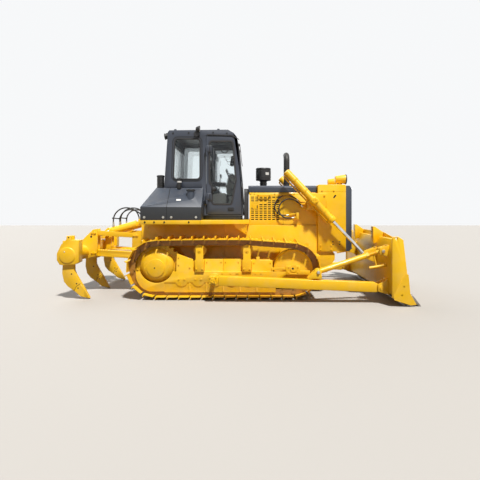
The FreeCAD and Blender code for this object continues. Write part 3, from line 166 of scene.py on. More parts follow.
def seen_rays(wire):
    """1 where the camera looks, straight, through glass or in a reflection."""
    paths = wire.node("LightPath", {}).outputs
    through = wire.maths("MAXIMUM", paths["Is Camera Ray"], paths["Is Transmission Ray"])
    return wire.maths("MAXIMUM", through, paths["Is Glossy Ray"])


floor_mesh = bpy.data.meshes.new("floor")
floor_mesh.from_pydata([(-FLOOR_HALF, -FLOOR_HALF, 0), (FLOOR_HALF, -FLOOR_HALF, 0), (FLOOR_HALF, FLOOR_HALF, 0),
                        (-FLOOR_HALF, FLOOR_HALF, 0)], [], [(0, 1, 2, 3)])
floor = link_object("floor", floor_mesh)
pale = Finish("pale_floor", {"Roughness": 0.85})
pale.feed({"Base Color": pale.blend(seen_rays(pale), FLOOR_BOUNCE, FLOOR_COLOUR)})
floor_mesh.materials.append(pale.material)

for name, source, strength, soft, colour in LAMPS:
    light = bpy.data.lights.new(name, "SUN")
    light.energy, light.angle, light.color = strength, math.radians(soft), colour
    lamp = link_object(name, light)
    lamp.rotation_euler = (-Vector(source)).to_track_quat("-Z", "Y").to_euler()

world = bpy.data.worlds.new("world")
SCENE.world = world
world.use_nodes = True
sky = Wiring(world.node_tree)
rise = sky.ranged(sky.axis(sky.coordinates["Generated"], "Z"), 0.0, 0.7)
fill_light = sky.fill(sky.nodes["Background"], {"Strength": FILL_STRENGTH,
                                                "Color": sky.blend(rise, LOW_COLOUR, SKY_COLOUR)})
backdrop = sky.node("Background", {"Color": BACKDROP_COLOUR})
either = sky.node("MixShader", {0: seen_rays(sky), 1: fill_light.outputs[0], 2: backdrop.outputs[0]})
sky.fill(sky.nodes["World Output"], {0: either.outputs[0]})

# Paint. The machine is sprayed whole, chains and all, in golden enamel, with slate enamel on
# the cab, tanks and hood. The coat has orange peel, a slight drift of colour, and a little
# yard dust low down and on its ledges.
GOLD = (0.90, 0.525, 0.004)
SLATE = (0.044, 0.054, 0.078)
DUST = (0.40, 0.30, 0.19)


def add_sockets(tree, inputs, outputs):
    """Gives a node tree named inputs and outputs of the stated kinds."""
    for way, items in (("INPUT", inputs), ("OUTPUT", outputs)):
        for name, kind in items.items():
            tree.interface.new_socket(name, in_out=way, socket_type="NodeSocket" + kind)


def enamel_group():
    """The coat's colour, roughness and height from its paint, its dust and its own roughness."""
    group = bpy.data.node_groups.new("sprayed_enamel", "ShaderNodeTree")
    add_sockets(group, {"Paint": "Color", "Dust": "Float", "Rough": "Float"},
                {"Color": "Color", "Roughness": "Float", "Height": "Float"})
    given = group.nodes.new("NodeGroupInput").outputs
    wire = Wiring(group)
    drift = wire.node("HueSaturation", {"Color": given["Paint"],
                                        "Value": wire.ranged(wire.noise(1.7, 4, 0.6), 0.3, 0.7, 0.90, 1.05),
                                        "Saturation": wire.ranged(wire.noise(6.0, 3), 0.3, 0.7, 0.97, 1.02)})
    normal = wire.node("NewGeometry", {}).outputs["Normal"]
    low = wire.ranged(wire.axis(wire.where, "Z"), 0.05, 1.0, 1.0, 0.10)
    ledge = wire.ranged(wire.axis(normal, "Z"), 0.5, 0.95, 0.0, 0.7)
    patch = wire.ranged(wire.noise(9.0, 8, 0.7), 0.42, 0.68)
    settled = wire.maths("MULTIPLY", wire.maths("MAXIMUM", low, ledge), patch)
    amount = wire.maths("MULTIPLY", settled, given["Dust"])
    grain = wire.ranged(wire.noise(35.0, 5), 0.3, 0.7, -0.05, 0.07)
    rough = wire.maths("ADD", wire.maths("ADD", given["Rough"], grain), wire.maths("MULTIPLY", amount, 0.45))
    peel = wire.maths("MULTIPLY", wire.noise(260.0, 2), 0.3)
    wave = wire.maths("MULTIPLY", wire.noise(3.2, 2), 0.7)
    wire.fill(group.nodes.new("NodeGroupOutput"), {"Color": wire.blend(amount, drift.outputs[0], DUST),
                                                   "Roughness": rough, "Height": wire.maths("ADD", peel, wave)})
    return group


ENAMEL = enamel_group()


def enamel(name, colour, rough=0.38, dust=0.12, coat=0.12, depth=0.0012, lower=None):
    """A sprayed finish on steel. A second colour may cover what lies below a given height."""
    finish = Finish(name, {"Coat Weight": coat, "Coat Roughness": 0.10})
    if lower:
        above = finish.ranged(finish.axis(finish.where, "Z"), lower[1] - 0.002, lower[1] + 0.002)
        colour = finish.blend(above, lower[0], colour)
    spray = finish.node("Group", {"Paint": colour, "Dust": dust, "Rough": rough}, node_tree=ENAMEL).outputs
    finish.feed({"Base Color": spray["Color"], "Roughness": spray["Roughness"]})
    finish.relief(spray["Height"], depth, 0.5)
    return finish.material


GOLD_ENAMEL = enamel("gold_enamel", GOLD)
GOLD_CAST = enamel("gold_on_castings", GOLD, rough=0.44, dust=0.26, coat=0.08, depth=0.003)
SLATE_ENAMEL = enamel("slate_enamel", SLATE, coat=0.2)
BLACK_ENAMEL = enamel("black_enamel", (0.011, 0.011, 0.012), rough=0.48, dust=0.10, coat=0.0)

# Hydraulic hoses, wire-braided black rubber 26 mm thick with crimped steel ends. Two loop from
# each lift cylinder's yoke to a bracket on the side of the hood, and two arch over each ripper
# barrel from its ports to the block above its trunnion.
HOSE_DIA = 0.026
RUBBER = (0.016, 0.016, 0.017)
LIFT_LOW_ROUTE = ((1.290, 1.636), (1.195, 1.745), (1.040, 1.800), (0.895, 1.740), (0.830, 1.600),
                  (0.880, 1.470), (1.010, 1.415), (1.135, 1.436))
LIFT_HIGH_ROUTE = ((1.215, 1.752), (1.120, 1.840), (0.965, 1.868), (0.825, 1.800), (0.758, 1.660),
                   (0.790, 1.535), (0.905, 1.465), (1.035, 1.485))
RIPPER_ROD_ROUTE = ((-2.383, 1.304), (-2.390, 1.420), (-2.330, 1.540), (-2.210, 1.622), (-2.060, 1.625),
                    (-1.940, 1.568), (-1.888, 1.480), (-1.874, 1.400))
RIPPER_HEAD_ROUTE = ((-2.270, 1.304), (-2.278, 1.410), (-2.225, 1.520), (-2.120, 1.590), (-1.990, 1.580),
                     (-1.885, 1.530), (-1.836, 1.458), (-1.824, 1.400))
# Each pair of hoses: the nodes it replaces, its places on the right and left, its route, length and body
HOSES = (("lift_hose_{}_low", (-0.612, 0.612), LIFT_LOW_ROUTE, 0.995, "root"),
         ("lift_hose_{}_high", (-0.565, 0.565), LIFT_HIGH_ROUTE, 0.964, "root"),
         ("ripper_hose_{}_rod", (-0.247, 0.203), RIPPER_ROD_ROUTE, 0.848, "ripper_barrels"),
         ("ripper_hose_{}_head", (-0.203, 0.247), RIPPER_HEAD_ROUTE, 0.735, "ripper_barrels"))


def rubber(name, colour=RUBBER, rough=0.55, ribs=0.0):
    """Black rubber with a dusty bloom, and fine ribs across a hose where they are asked for."""
    finish = Finish(name, {})
    bloom = finish.ranged(finish.noise(14.0, 6, 0.65), 0.40, 0.72, 0.0, 0.35)
    finish.feed({"Base Color": finish.blend(bloom, colour, tuple(c * 2.6 + 0.012 for c in colour)),
                 "Roughness": finish.ranged(finish.noise(40.0, 3), 0.3, 0.7, rough - 0.08, rough + 0.10)})
    height = finish.noise(420.0, 2)
    if ribs:
        weave = finish.maths("MULTIPLY", finish.waves("X", ribs, 1.5), 0.6)
        height = finish.maths("ADD", weave, height)
    finish.relief(height, 0.0006, 0.35)
    return finish.material


def metal(name, colour, rough, grain=90.0, stretch=None, dull=0.12):
    """Bare or plated steel, lightly clouded, with fine machining marks."""
    finish = Finish(name, {"Metallic": 1.0})
    cloud = finish.ranged(finish.noise(11.0, 5, 0.6), 0.35, 0.7)
    marks = finish.noise(grain, 3, 0.6, stretch)
    finish.feed({"Base Color": finish.blend(cloud, colour, tuple(c * 0.72 for c in colour)),
                 "Roughness": finish.ranged(marks, 0.3, 0.7, rough - dull / 2, rough + dull)})
    finish.relief(marks, 0.0004, 0.18)
    return finish.material


def soft_line(name, points, radius, material):
    """A round bar or hose on one smooth line with the points as its control points."""
    curve = bpy.data.curves.new(name, "CURVE")
    curve.dimensions = "3D"
    curve.bevel_depth, curve.bevel_resolution = radius, 3
    curve.resolution_u = 10
    curve.use_fill_caps = True
    spline = curve.splines.new("NURBS")
    spline.points.add(len(points) - 1)
    for point, place in zip(spline.points, points):
        point.co = (*place, 1)
    spline.order_u = 3
    spline.use_endpoint_u = True
    curve.materials.append(material)
    return link_object(name, curve)


def new_mesh(name, work):
    """A mesh from a bmesh, with its faces turned outwards."""
    bmesh.ops.recalc_face_normals(work, faces=work.faces)
    mesh = bpy.data.meshes.new(name)
    work.to_mesh(mesh)
    work.free()
    return mesh


def add_turned(work, profile, centre=(0, 0, 0), axis="Z", steps=24):
    """A closed turned piece from radius and distance pairs along an axis."""
    rings = []
    for radius, along in profile:
        ring = []
        for step in range(steps if radius > 0 else 1):
            angle = 2 * math.pi * step / steps
            across, up = radius * math.cos(angle), radius * math.sin(angle)
            place = {"Z": (across, up, along), "Y": (across, along, up), "X": (along, across, up)}[axis]
            ring.append(work.verts.new(Vector(centre) + Vector(place)))
        rings.append(ring)
    for low, high in zip(rings, rings[1:]):
        for step in range(steps):
            after = (step + 1) % steps
            corners = [low[step % len(low)], low[after % len(low)], high[after % len(high)], high[step % len(high)]]
            distinct = list(dict.fromkeys(corners))
            if len(distinct) > 2:
                work.faces.new(distinct)
    for ring in (rings[0], rings[-1][::-1]):
        if len(ring) > 2:
            work.faces.new(ring)


def turned_unit(profile, steps=24):
    """A turned piece that stands on its own Z axis, to be set in places."""
    work = bmesh.new()
    add_turned(work, profile, steps=steps)
    return new_mesh("turned", work)


def evaluated_mesh(piece):
    """The piece's mesh with its modifiers used up."""
    SCENE.view_layers[0].update()
    mesh = bpy.data.meshes.new_from_object(piece.evaluated_get(bpy.context.evaluated_depsgraph_get()))
    piece.modifiers.clear()
    return mesh


def placing_tree():
    """Sets one piece on each point of a mesh, turned by the point's own attribute."""
    tree = bpy.data.node_groups.new("set_pieces", "GeometryNodeTree")
    add_sockets(tree, {"Places": "Geometry", "Piece": "Object", "Finish": "Material"}, {"Geometry": "Geometry"})
    given, out, piece, turn, euler, instance, realize, finish = (tree.nodes.new(kind) for kind in (
        "NodeGroupInput", "NodeGroupOutput", "GeometryNodeObjectInfo", "GeometryNodeInputNamedAttribute",
        "FunctionNodeEulerToRotation", "GeometryNodeInstanceOnPoints", "GeometryNodeRealizeInstances",
        "GeometryNodeSetMaterial"))
    turn.data_type = "FLOAT_VECTOR"
    turn.inputs["Name"].default_value = "turn"
    for source, target in ((given.outputs["Piece"], piece.inputs["Object"]),
                           (turn.outputs["Attribute"], euler.inputs[0]),
                           (given.outputs["Places"], instance.inputs["Points"]),
                           (piece.outputs["Geometry"], instance.inputs["Instance"]),
                           (euler.outputs[0], instance.inputs["Rotation"]),
                           (instance.outputs[0], realize.inputs[0]),
                           (realize.outputs[0], finish.inputs["Geometry"]),
                           (given.outputs["Finish"], finish.inputs["Material"]),
                           (finish.outputs[0], out.inputs["Geometry"])):
        tree.links.new(source, target)
    return tree


PLACING = placing_tree()
INPUTS = {item.name: item.identifier for item in PLACING.interface.items_tree if item.in_out == "INPUT"}
SMOOTH_ANGLE = math.radians(38)


def set_pieces(name, unit, places, material, body="root", smooth=SMOOTH_ANGLE):
    """Like pieces as one mesh. Each place is a point and the turn of the unit there."""
    points = bpy.data.meshes.new(name)
    points.from_pydata([place for place, turn in places], [], [])
    turns = points.attributes.new("turn", "FLOAT_VECTOR", "POINT")
    turns.data.foreach_set("vector", [value for place, turn in places for value in turn])
    piece = link_object(name, points)
    model = link_object(name + "_unit", unit)
    modifier = piece.modifiers.new("set", "NODES")
    modifier.node_group = PLACING
    modifier[INPUTS["Piece"]] = model
    modifier[INPUTS["Finish"]] = material
    piece.data = evaluated_mesh(piece)
    bpy.data.objects.remove(model)
    if "turn" in piece.data.attributes:
        piece.data.attributes.remove(piece.data.attributes["turn"])
    piece.data.shade_smooth()
    piece.data.set_sharp_from_angle(angle=smooth)
    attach(piece, body)
    return piece


def facing(normal):
    """The turn that stands a unit's Z axis along a normal."""
    return tuple(Vector(normal).to_track_quat("Z", "Y").to_euler())


HOSE_RUBBER = rubber("hose_rubber", ribs=110.0)
ZINC = metal("zinc_plate", (0.60, 0.58, 0.52), 0.34)
FERRULE = [(0.0150, 0.046), (0.0172, 0.044), (0.0172, 0.036), (0.0160, 0.034), (0.0160, 0.030), (0.0172, 0.028),
           (0.0172, 0.020), (0.0160, 0.018), (0.0160, 0.014), (0.0172, 0.012), (0.0172, 0.004), (0.0150, 0.000)]
for nodes_name, sides, route, length, body in HOSES:
    for side, y in zip(("right", "left"), sides):
        node = nodes_name.format(side)
        points = [Vector((x, y, z)) for x, z in route]
        hose = soft_line(node + "_line", points, HOSE_DIA / 2, HOSE_RUBBER)
        ends = [(points[0], facing(points[1] - points[0])), (points[-1], facing(points[-2] - points[-1]))]
        ferrules = set_pieces(node + "_ferrules", turned_unit(FERRULE, 16), ends, ZINC, body)
        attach(hose, body)
        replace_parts(hose, node)

# Crawler chains. Each is 37 pairs of forged links on bushings and pins, with a rolled
# single-bar shoe bolted on each pair, all sprayed with the machine. One pair with its shoe is
# modelled, and set along the pin line that the sprocket, idler and carriers give.
TRACK_MIDDLE = 0.94
SHOES = 37
SHOE_HALF = 0.255
SHOE_GAP = 0.014
SHOE_PLATE = 0.013
GROUSER = 0.050
LINK_HALF = 0.0525
LINK_RAIL = 0.092
LINK_THICK = 0.030
PIN_HEIGHT = GROUSER + SHOE_PLATE + LINK_HALF
SPROCKET = (-1.36, 0.4366)
IDLER = (1.07, 0.4115)
CARRIERS = (-0.585, 0.25)
CARRIED = 1.0


def pin_places():
    """Pin places in X and Z along the chain, at even distances."""
    rear, front = [Vector((x, CARRIED)) for x in CARRIERS]
    sprocket, idler = [Vector((x, PIN_HEIGHT + radius)) for x, radius in (SPROCKET, IDLER)]

    def touch(point, centre, radius, side):
        away = point - centre
        return math.atan2(away.y, away.x) + side * math.acos(radius / away.length)

    def on_circle(centre, radius, angle):
        return centre + Vector((math.cos(angle), math.sin(angle))) * radius

    top = touch(front, idler, IDLER[1], -1)
    leave = touch(rear, sprocket, SPROCKET[1], 1)
    runs = [
        ("line", Vector((SPROCKET[0], PIN_HEIGHT)), Vector((IDLER[0], PIN_HEIGHT))),
        ("arc", idler, IDLER[1], -math.pi / 2, top),
        ("line", on_circle(idler, IDLER[1], top), front),
        ("line", front, rear),
        ("line", rear, on_circle(sprocket, SPROCKET[1], leave)),
        ("arc", sprocket, SPROCKET[1], leave, math.pi * 1.5),
    ]
    lengths = [(run[2] - run[1]).length if run[0] == "line" else run[2] * (run[4] - run[3]) for run in runs]
    places = []
    for number in range(SHOES):
        left = sum(lengths) * number / SHOES
        for run, length in zip(runs, lengths):
            if left <= length:
                break
            left -= length
        share = left / length
        if run[0] == "line":
            places.append(run[1].lerp(run[2], share))
        else:
            places.append(on_circle(run[1], run[2], run[3] + (run[4] - run[3]) * share))
    return places


def add_rings(work, rings, closed=False):
    """A solid through rings of places with as many corners, closed in a loop or capped at its ends."""
    rings = [[work.verts.new(place) for place in ring] for ring in rings]
    if not closed:
        work.faces.new(rings[0])
        work.faces.new(rings[-1][::-1])
    for near, far in zip(rings, rings[1:] + rings[:1] if closed else rings[1:]):
        for n in range(len(near)):
            after = (n + 1) % len(near)
            work.faces.new((near[n], near[after], far[after], far[n]))


def in_plane(outline, level, plane):
    """The places of an outline in one plane, at a place on the third axis."""
    return [{"XZ": (a, level, b), "XY": (a, b, level), "YZ": (level, a, b)}[plane] for a, b in outline]


def add_prism(work, outline, low, high, plane="XZ"):
    """A closed plate with an outline in one plane, between two places on the third axis."""
    add_rings(work, [in_plane(outline, level, plane) for level in (low, high)])


def sided(hand, near, far):
    """Two distances from the machine's middle as places on one side of it, in order."""
    return sorted((hand * near, hand * far))


PINS = pin_places()
PITCH = (PINS[1] - PINS[0]).length
# The links are coloured a darker brown than the shoes: painted shade for the shadow the shoes cast on them.
CHAIN_SHADE_PAINT = enamel("chain_painted_shade_brown", (0.34, 0.155, 0.012), rough=0.40, dust=0.25, coat=0.1, depth=0.003)


def shoe_unit():
    """The shoe of one pair of links, which lies below them, and its bolts."""
    work = bmesh.new()
    low, plate = -LINK_HALF, -LINK_HALF - SHOE_PLATE
    start, end = SHOE_GAP / 2, PITCH - SHOE_GAP / 2
    tip = plate - GROUSER
    section = [(start, low), (end - 0.030, low), (end, low + 0.006), (end, plate + 0.006), (end - 0.030, plate),
               (start + 0.024, plate), (start + 0.013, tip), (start, tip)]
    rows = ((-SHOE_HALF, 0.55), (-SHOE_HALF + 0.035, 1.0), (SHOE_HALF - 0.035, 1.0), (SHOE_HALF, 0.55))
    add_rings(work, [[(x, y, z if z > tip else plate - GROUSER * share) for x, z in section] for y, share in rows])
    for hand in (-1, 1):
        for x in (0.062, 0.142):
            add_turned(work, [(0.0185, plate - 0.013), (0.0185, plate)], (x, hand * LINK_RAIL, 0), "Z", 6)
    return new_mesh("shoe", work)


def link_unit():
    """A pair of links with their bushing and pin."""
    work = bmesh.new()
    side = [(-0.034, -0.012), (-0.024, -0.034), (0.012, -0.0515), (PITCH - 0.020, -0.0515), (PITCH + 0.026, -0.030),
            (PITCH + 0.038, 0.004), (PITCH + 0.026, 0.034), (PITCH - 0.016, 0.0525), (PITCH - 0.062, 0.0525),
            (PITCH / 2, 0.0485), (0.055, 0.0525), (0.012, 0.0525), (-0.026, 0.034), (-0.038, 0.006)]
    inside, outside = LINK_RAIL - LINK_THICK / 2, LINK_RAIL + LINK_THICK / 2
    for hand in (-1, 1):
        add_prism(work, side, *sided(hand, inside, outside))
        for radius, near, far, x, steps in ((0.040, 0.062, inside, 0, 16), (0.038, outside, 0.124, PITCH, 16),
                                            (0.021, 0.124, 0.129, PITCH, 12)):
            low, high = sided(hand, near, far)
            add_turned(work, [(radius, low), (radius, high)], (x, 0, 0), "Y", steps)
    add_turned(work, [(0.029, -0.062), (0.029, 0.062)], axis="Y", steps=16)
    return new_mesh("link_pair", work)


for hand, side in ((-1, "right"), (1, "left")):
    places = []
    for number, pin in enumerate(PINS):
        ahead = PINS[(number + 1) % SHOES] - pin
        places.append(((pin.x, hand * TRACK_MIDDLE, pin.y), (0, -math.atan2(ahead.y, ahead.x), 0)))
    shoes = set_pieces("shoes_" + side, shoe_unit(), places, GOLD_CAST)
    chain = set_pieces("chain_" + side, link_unit(), places, CHAIN_SHADE_PAINT)
    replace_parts(shoes, "track_" + side)
    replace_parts(chain, "track_" + side)

# Undercarriage. Box-section track frames with skirts and carrier posts, cast sprockets, idlers
# and rollers, all under the same golden enamel. Each solid is dressed in a copy of itself with
# its edges broken by grinding and paint. Hexagon screws hold the caps and guards.
FRAME_FACE = 1.090
POST_FACE = 1.120
SPROCKET_MIDDLE = (-1.360, 0.5521)
ROLLER_X = [-0.903 + 0.295 * n for n in range(6)]
# Flat black. In holes, slots, behind the louvres and on some bolt heads it is painted shade; on seams it is the dark of
# the joints; it is also the hood latch's own black.
BLACK_AND_PAINTED_SHADE = enamel("shade_black", (0.004, 0.004, 0.004), rough=0.8, dust=0.0, coat=0.0)
PLATE_EDGE = 0.003


def settled(name, mesh, material, body="root", edge=0.0, angle=SMOOTH_ANGLE, segments=1):
    """A piece in one finish, smooth but for its corners, its edges broken, riding on its body."""
    piece = link_object(name, mesh)
    mesh.shade_smooth()
    if edge:
        bevel = piece.modifiers.new("broken_edges", "BEVEL")
        bevel.width, bevel.segments = edge, segments
        bevel.limit_method = "ANGLE"
        bevel.angle_limit = SMOOTH_ANGLE
        bevel.use_clamp_overlap = False
        piece.data = evaluated_mesh(piece)
    piece.data.set_sharp_from_angle(angle=angle)
    piece.data.materials.clear()
    piece.data.materials.append(material)
    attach(piece, body)
    return piece


def finished(name, work, material, body="root", edge=0.0, angle=SMOOTH_ANGLE):
    """A piece from a bmesh, with its faces turned outwards."""
    return settled(name, new_mesh(name, work), material, body, edge, angle)


def dress(node, material, width=PLATE_EDGE):
    """Stands a smooth copy of a node's solid in the node's place."""
    source = NODES[node]
    work = bmesh.new()
    work.from_mesh(source.data)
    bmesh.ops.remove_doubles(work, verts=work.verts, dist=1e-5)
    bmesh.ops.dissolve_limit(work, angle_limit=math.radians(0.6), verts=work.verts, edges=work.edges)
    mesh = bpy.data.meshes.new(node + "_skin")
    work.to_mesh(mesh)
    work.free()
    piece = settled(node + "_skin", mesh, material, source["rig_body"], width, segments=2)
    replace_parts(piece, node)
    return piece


def at(y, spots):
    """Places in X and Z on a face at one place across the machine."""
    return [(x, y, z) for x, z in spots]


def stand(name, unit, spots, material, body, normal, mirror, smooth=SMOOTH_ANGLE):
    """A unit that points along a normal on each spot, and the same on the machine's left."""
    places = [(spot, facing(normal)) for spot in spots]
    if mirror:
        other = (normal[0], -normal[1], normal[2])
        places += [((x, -y, z), facing(other)) for x, y, z in spots]
    return set_pieces(name, unit, places, material, body, smooth)


def bolts(name, across, spots, material=GOLD_ENAMEL, body="root", normal=(0, -1, 0), mirror=True):
    """Hexagon heads on their washers, with turned-down tops."""
    work = bmesh.new()
    radius = across / math.sqrt(3)
    add_turned(work, [(radius * 1.25, 0.0), (radius * 1.25, across * 0.10)], steps=12)
    add_turned(work, [(radius, across * 0.10), (radius, across * 0.47), (radius * 0.86, across * 0.55)], steps=6)
    return stand(name, new_mesh("bolt_head", work), spots, material, body, normal, mirror, math.radians(30))


def disc_unit(radius, height, edge=0.002):
    """A flat round plate with a broken edge."""
    return turned_unit([(radius, 0.0), (radius, height - edge), (radius - edge, height)])


def discs(name, radius, height, spots, material=GOLD_ENAMEL, body="root", normal=(0, -1, 0), mirror=True):
    """Flat round plates on a face."""
    return stand(name, disc_unit(radius, height), spots, material, body, normal, mirror)


def ring_spots(centre, radius, count, y, first=0.0):
    """Places at even angles round a centre in X and Z."""
    turns = [first + 2 * math.pi * n / count for n in range(count)]
    return [(centre[0] + radius * math.cos(a), y, centre[1] + radius * math.sin(a)) for a in turns]


def rect(left, low, right, high):
    """The outline of a rectangle."""
    return [(left, low), (right, low), (right, high), (left, high)]


def plates(name, outlines, faces, material=GOLD_ENAMEL, body="root", plane="XZ", edge=0.002, mirror=True):
    """Thin plates with the same two faces, and the same on the machine's left."""
    work = bmesh.new()
    for outline in outlines:
        add_prism(work, outline, *faces, plane)
        if mirror:
            add_prism(work, outline, -faces[1], -faces[0], plane)
    return finished(name, work, material, body, edge)


for node in ("track_frames", "sprockets", "idlers", "track_rollers", "carrier_rollers"):
    dress(node, GOLD_CAST)
bolts("sprocket_bolts", 0.024, ring_spots(SPROCKET_MIDDLE, 0.352, 27, -0.972), GOLD_CAST)
# A black disc is painted shade in the final drive's plug hole.
discs("final_drive_plugs", 0.012, 0.004, [(-1.380, -1.095, 0.552)], BLACK_AND_PAINTED_SHADE)
bolts("roller_bolts", 0.024, at(-FRAME_FACE, [(x + step, 0.352) for x in ROLLER_X for step in (-0.05, 0.05)]),
      GOLD_CAST)
bolts("guard_bolts", 0.022, at(-1.078, [(x + 0.1475, z) for x in ROLLER_X[:5] for z in (0.155, 0.265)]), GOLD_CAST)
plates("guard_ribs", [[(x + 0.135, 0.130), (x + 0.160, 0.130), (x + 0.150, 0.290), (x + 0.130, 0.290)]
                      for x in ROLLER_X[:5]], (-FRAME_FACE, -1.077), GOLD_CAST)
bolts("housing_bolts", 0.020, at(-1.060, [(-0.461, 0.655), (-0.205, 0.655), (-0.130, 0.655), (0.100, 0.655),
                                          (0.375, 0.640), (0.665, 0.640)]), GOLD_CAST)
bolts("skirt_bolts", 0.018, at(-FRAME_FACE, [(x, 0.458) for x in (-0.186, -0.043, 0.065, 0.097, 0.400, 0.500)]),
      GOLD_CAST)
bolts("sprocket_guard_bolts", 0.022, at(-FRAME_FACE, [(-0.955, 0.610), (-0.955, 0.740), (-0.760, 0.560)]), GOLD_CAST)
discs("carrier_caps", 0.040, 0.006, at(-POST_FACE, [(x, 0.8575) for x in CARRIERS]), GOLD_CAST)
bolts("carrier_bolts", 0.022, at(-1.126, [(x, 0.8575) for x in CARRIERS]), GOLD_CAST)
bolts("post_bolts", 0.026, at(-POST_FACE, [(x + step, 0.540) for x in CARRIERS for step in (-0.05, 0.05)]), GOLD_CAST)

# Idler bearing block: a capped shaft in a slide that four screws hold, with the grease hole
# that the chain is tightened through.
discs("idler_caps", 0.066, 0.008, [(1.074, -1.100, 0.545)], GOLD_CAST)
# Black discs are painted shade in the grease hole and in the holes of the idler's disc.
discs("idler_grease_holes", 0.019, 0.002, [(1.059, -1.108, 0.543)], BLACK_AND_PAINTED_SHADE)
discs("idler_disc_holes", 0.019, 0.002, [(1.205, -1.0272, 0.692)], BLACK_AND_PAINTED_SHADE, normal=(-0.09, -1, 0.06))
bolts("idler_bolts", 0.022, at(-1.100, [(1.150, 0.568), (1.150, 0.475), (0.985, 0.568), (0.985, 0.475)]), GOLD_CAST)
plates("idler_slide_shims", [rect(0.955, 0.455, 1.175, 0.440)], (-1.104, -1.099), GOLD_CAST)

# Main frame, ripper bracket and engine. Welded plate in golden enamel, the engine a plain block
# in black enamel behind the side panels, and screws along the case.
CASE_SIDE = 0.560
dress("main_frame", GOLD_ENAMEL)
dress("ripper_bracket", GOLD_ENAMEL)
dress("engine_block", enamel("engine_black", (0.012, 0.012, 0.012), rough=0.6, dust=0.35, coat=0.0, depth=0.004),
      0.012)
bolts("case_bolts", 0.026, at(-CASE_SIDE, [(x, z) for x in (-1.620, -1.040, -0.750, -0.461, -0.204, 0.060)
                                           for z in (0.765, 1.250)]))
plates("case_seams", [rect(x, 0.70, x + 0.012, 1.32) for x in (-0.180, -1.330)], (-CASE_SIDE - 0.003,
                                                                                -CASE_SIDE + 0.001))

# Radiator guard and grille. The guard is thick golden plate, the grille a slate door of upright
# and level bars in front of the black finned core.
GUARD_SIDE = 0.600
FIN_BLACK = (0.004, 0.004, 0.004)
FIN_GREY = (0.05, 0.05, 0.052)
BAR_LENGTH = 1.100
BAR_RADIUS = 0.0065


def seams(name, side, outlines, proud, material=BLACK_AND_PAINTED_SHADE, body="root", sunk=0.001):
    """Seams, slots and holes as thin plates that stand just proud of a side face. Black slots and holes are painted
    shade.
    """
    return plates(name, outlines, (-side - proud, -side + sunk), material, body, edge=0)


dress("radiator_guard", GOLD_ENAMEL, 0.005)
dress("radiator_grille", SLATE_ENAMEL, 0.004)
bolts("guard_side_bolts", 0.024, at(-GUARD_SIDE, [(1.662, 1.943), (1.880, 1.943), (1.630, 0.915), (1.630, 0.834),
                                                  (1.832, 0.915), (1.832, 0.834), (1.817, 1.538), (1.848, 1.499)]))
# Black discs are painted shade in the holes on the guard's front corner.
discs("guard_front_holes", 0.013, 0.0015, at(-GUARD_SIDE, [(x, z) for x in (1.862, 1.990) for z in (0.930, 0.980)]),
      BLACK_AND_PAINTED_SHADE)
# The black slot is painted shade.
seams("guard_slots", GUARD_SIDE, [[(1.868, 1.802), (1.888, 1.800), (1.926, 1.850), (1.922, 1.862), (1.900, 1.862),
                                   (1.870, 1.822)]], 0.0012)
seams("guard_top_seams", GUARD_SIDE, [rect(1.600, 1.928, 2.100, 1.934)], 0.0018, GOLD_ENAMEL)
bolts("grille_bolts", 0.024, [(2.2255, y, z) for y in (-0.530, -0.265, 0.0, 0.265, 0.530) for z in (0.855, 1.968)],
      SLATE_ENAMEL, normal=(1, 0, 0), mirror=False)
core = Finish("radiator_fins", {})
fins = core.waves("Y", 60.0, 0.2)
core.feed({"Base Color": core.blend(fins, FIN_BLACK, FIN_GREY),
           "Roughness": core.ranged(core.noise(20.0), 0.3, 0.7, 0.5, 0.7)})
core.relief(fins, 0.004)
plates("radiator_core", [rect(-0.515, 0.870, 0.515, 1.985)], (2.049, 2.070), core.material, plane="YZ", mirror=False)
bar = turned_unit([(BAR_RADIUS * 0.6, 0.0), (BAR_RADIUS, BAR_RADIUS), (BAR_RADIUS, BAR_LENGTH - BAR_RADIUS),
                   (BAR_RADIUS * 0.6, BAR_LENGTH)], 10)
set_pieces("grille_bars", bar, [((2.196, side * (0.050 + 0.0405 * n), 0.872), (0, 0, 0)) for side in (-1, 1)
                                for n in range(12)], SLATE_ENAMEL)

# Hood: a slate cover of folded sheet over golden side panels, pierced with louvres and lifted
# by bent-rod handles. A latch sits in its own recess. Black slots set between the pierced
# ones, and black sheets hung behind the louvres, are painted shade.
dress("hood_cover", SLATE_ENAMEL, 0.006)
dress("hood_sides", GOLD_ENAMEL, 0.0015)
HOOD_SIDE = 0.530
HANDLE_Z = 1.862
SLOT_X, SLOT_Z = 0.323, 1.390
SLOT_STEP_X, SLOT_STEP_Z = 0.080, 0.070
# Rows of each column where a black slot, painted shade, stands between two that are pierced
BETWEEN = ((0, 1, 2), (0, 1, 2), (0, 1, 2, 3, 5), (0, 1, 2, 3, 5), (0, 1, 2, 3, 4, 5), (0, 1, 2, 3, 4),
           (0, 1, 2, 3, 4))


def lip_unit():
    """The pressed lip over one louvre slot."""
    work = bmesh.new()
    add_prism(work, rect(-0.028, -0.004, 0.028, 0.0065), -0.002, 0.0035, "XY")
    for vert in work.verts:
        if vert.co.y > 0 and vert.co.z > 0:
            vert.co.z = 0.0008
    return new_mesh("louvre_lip", work)


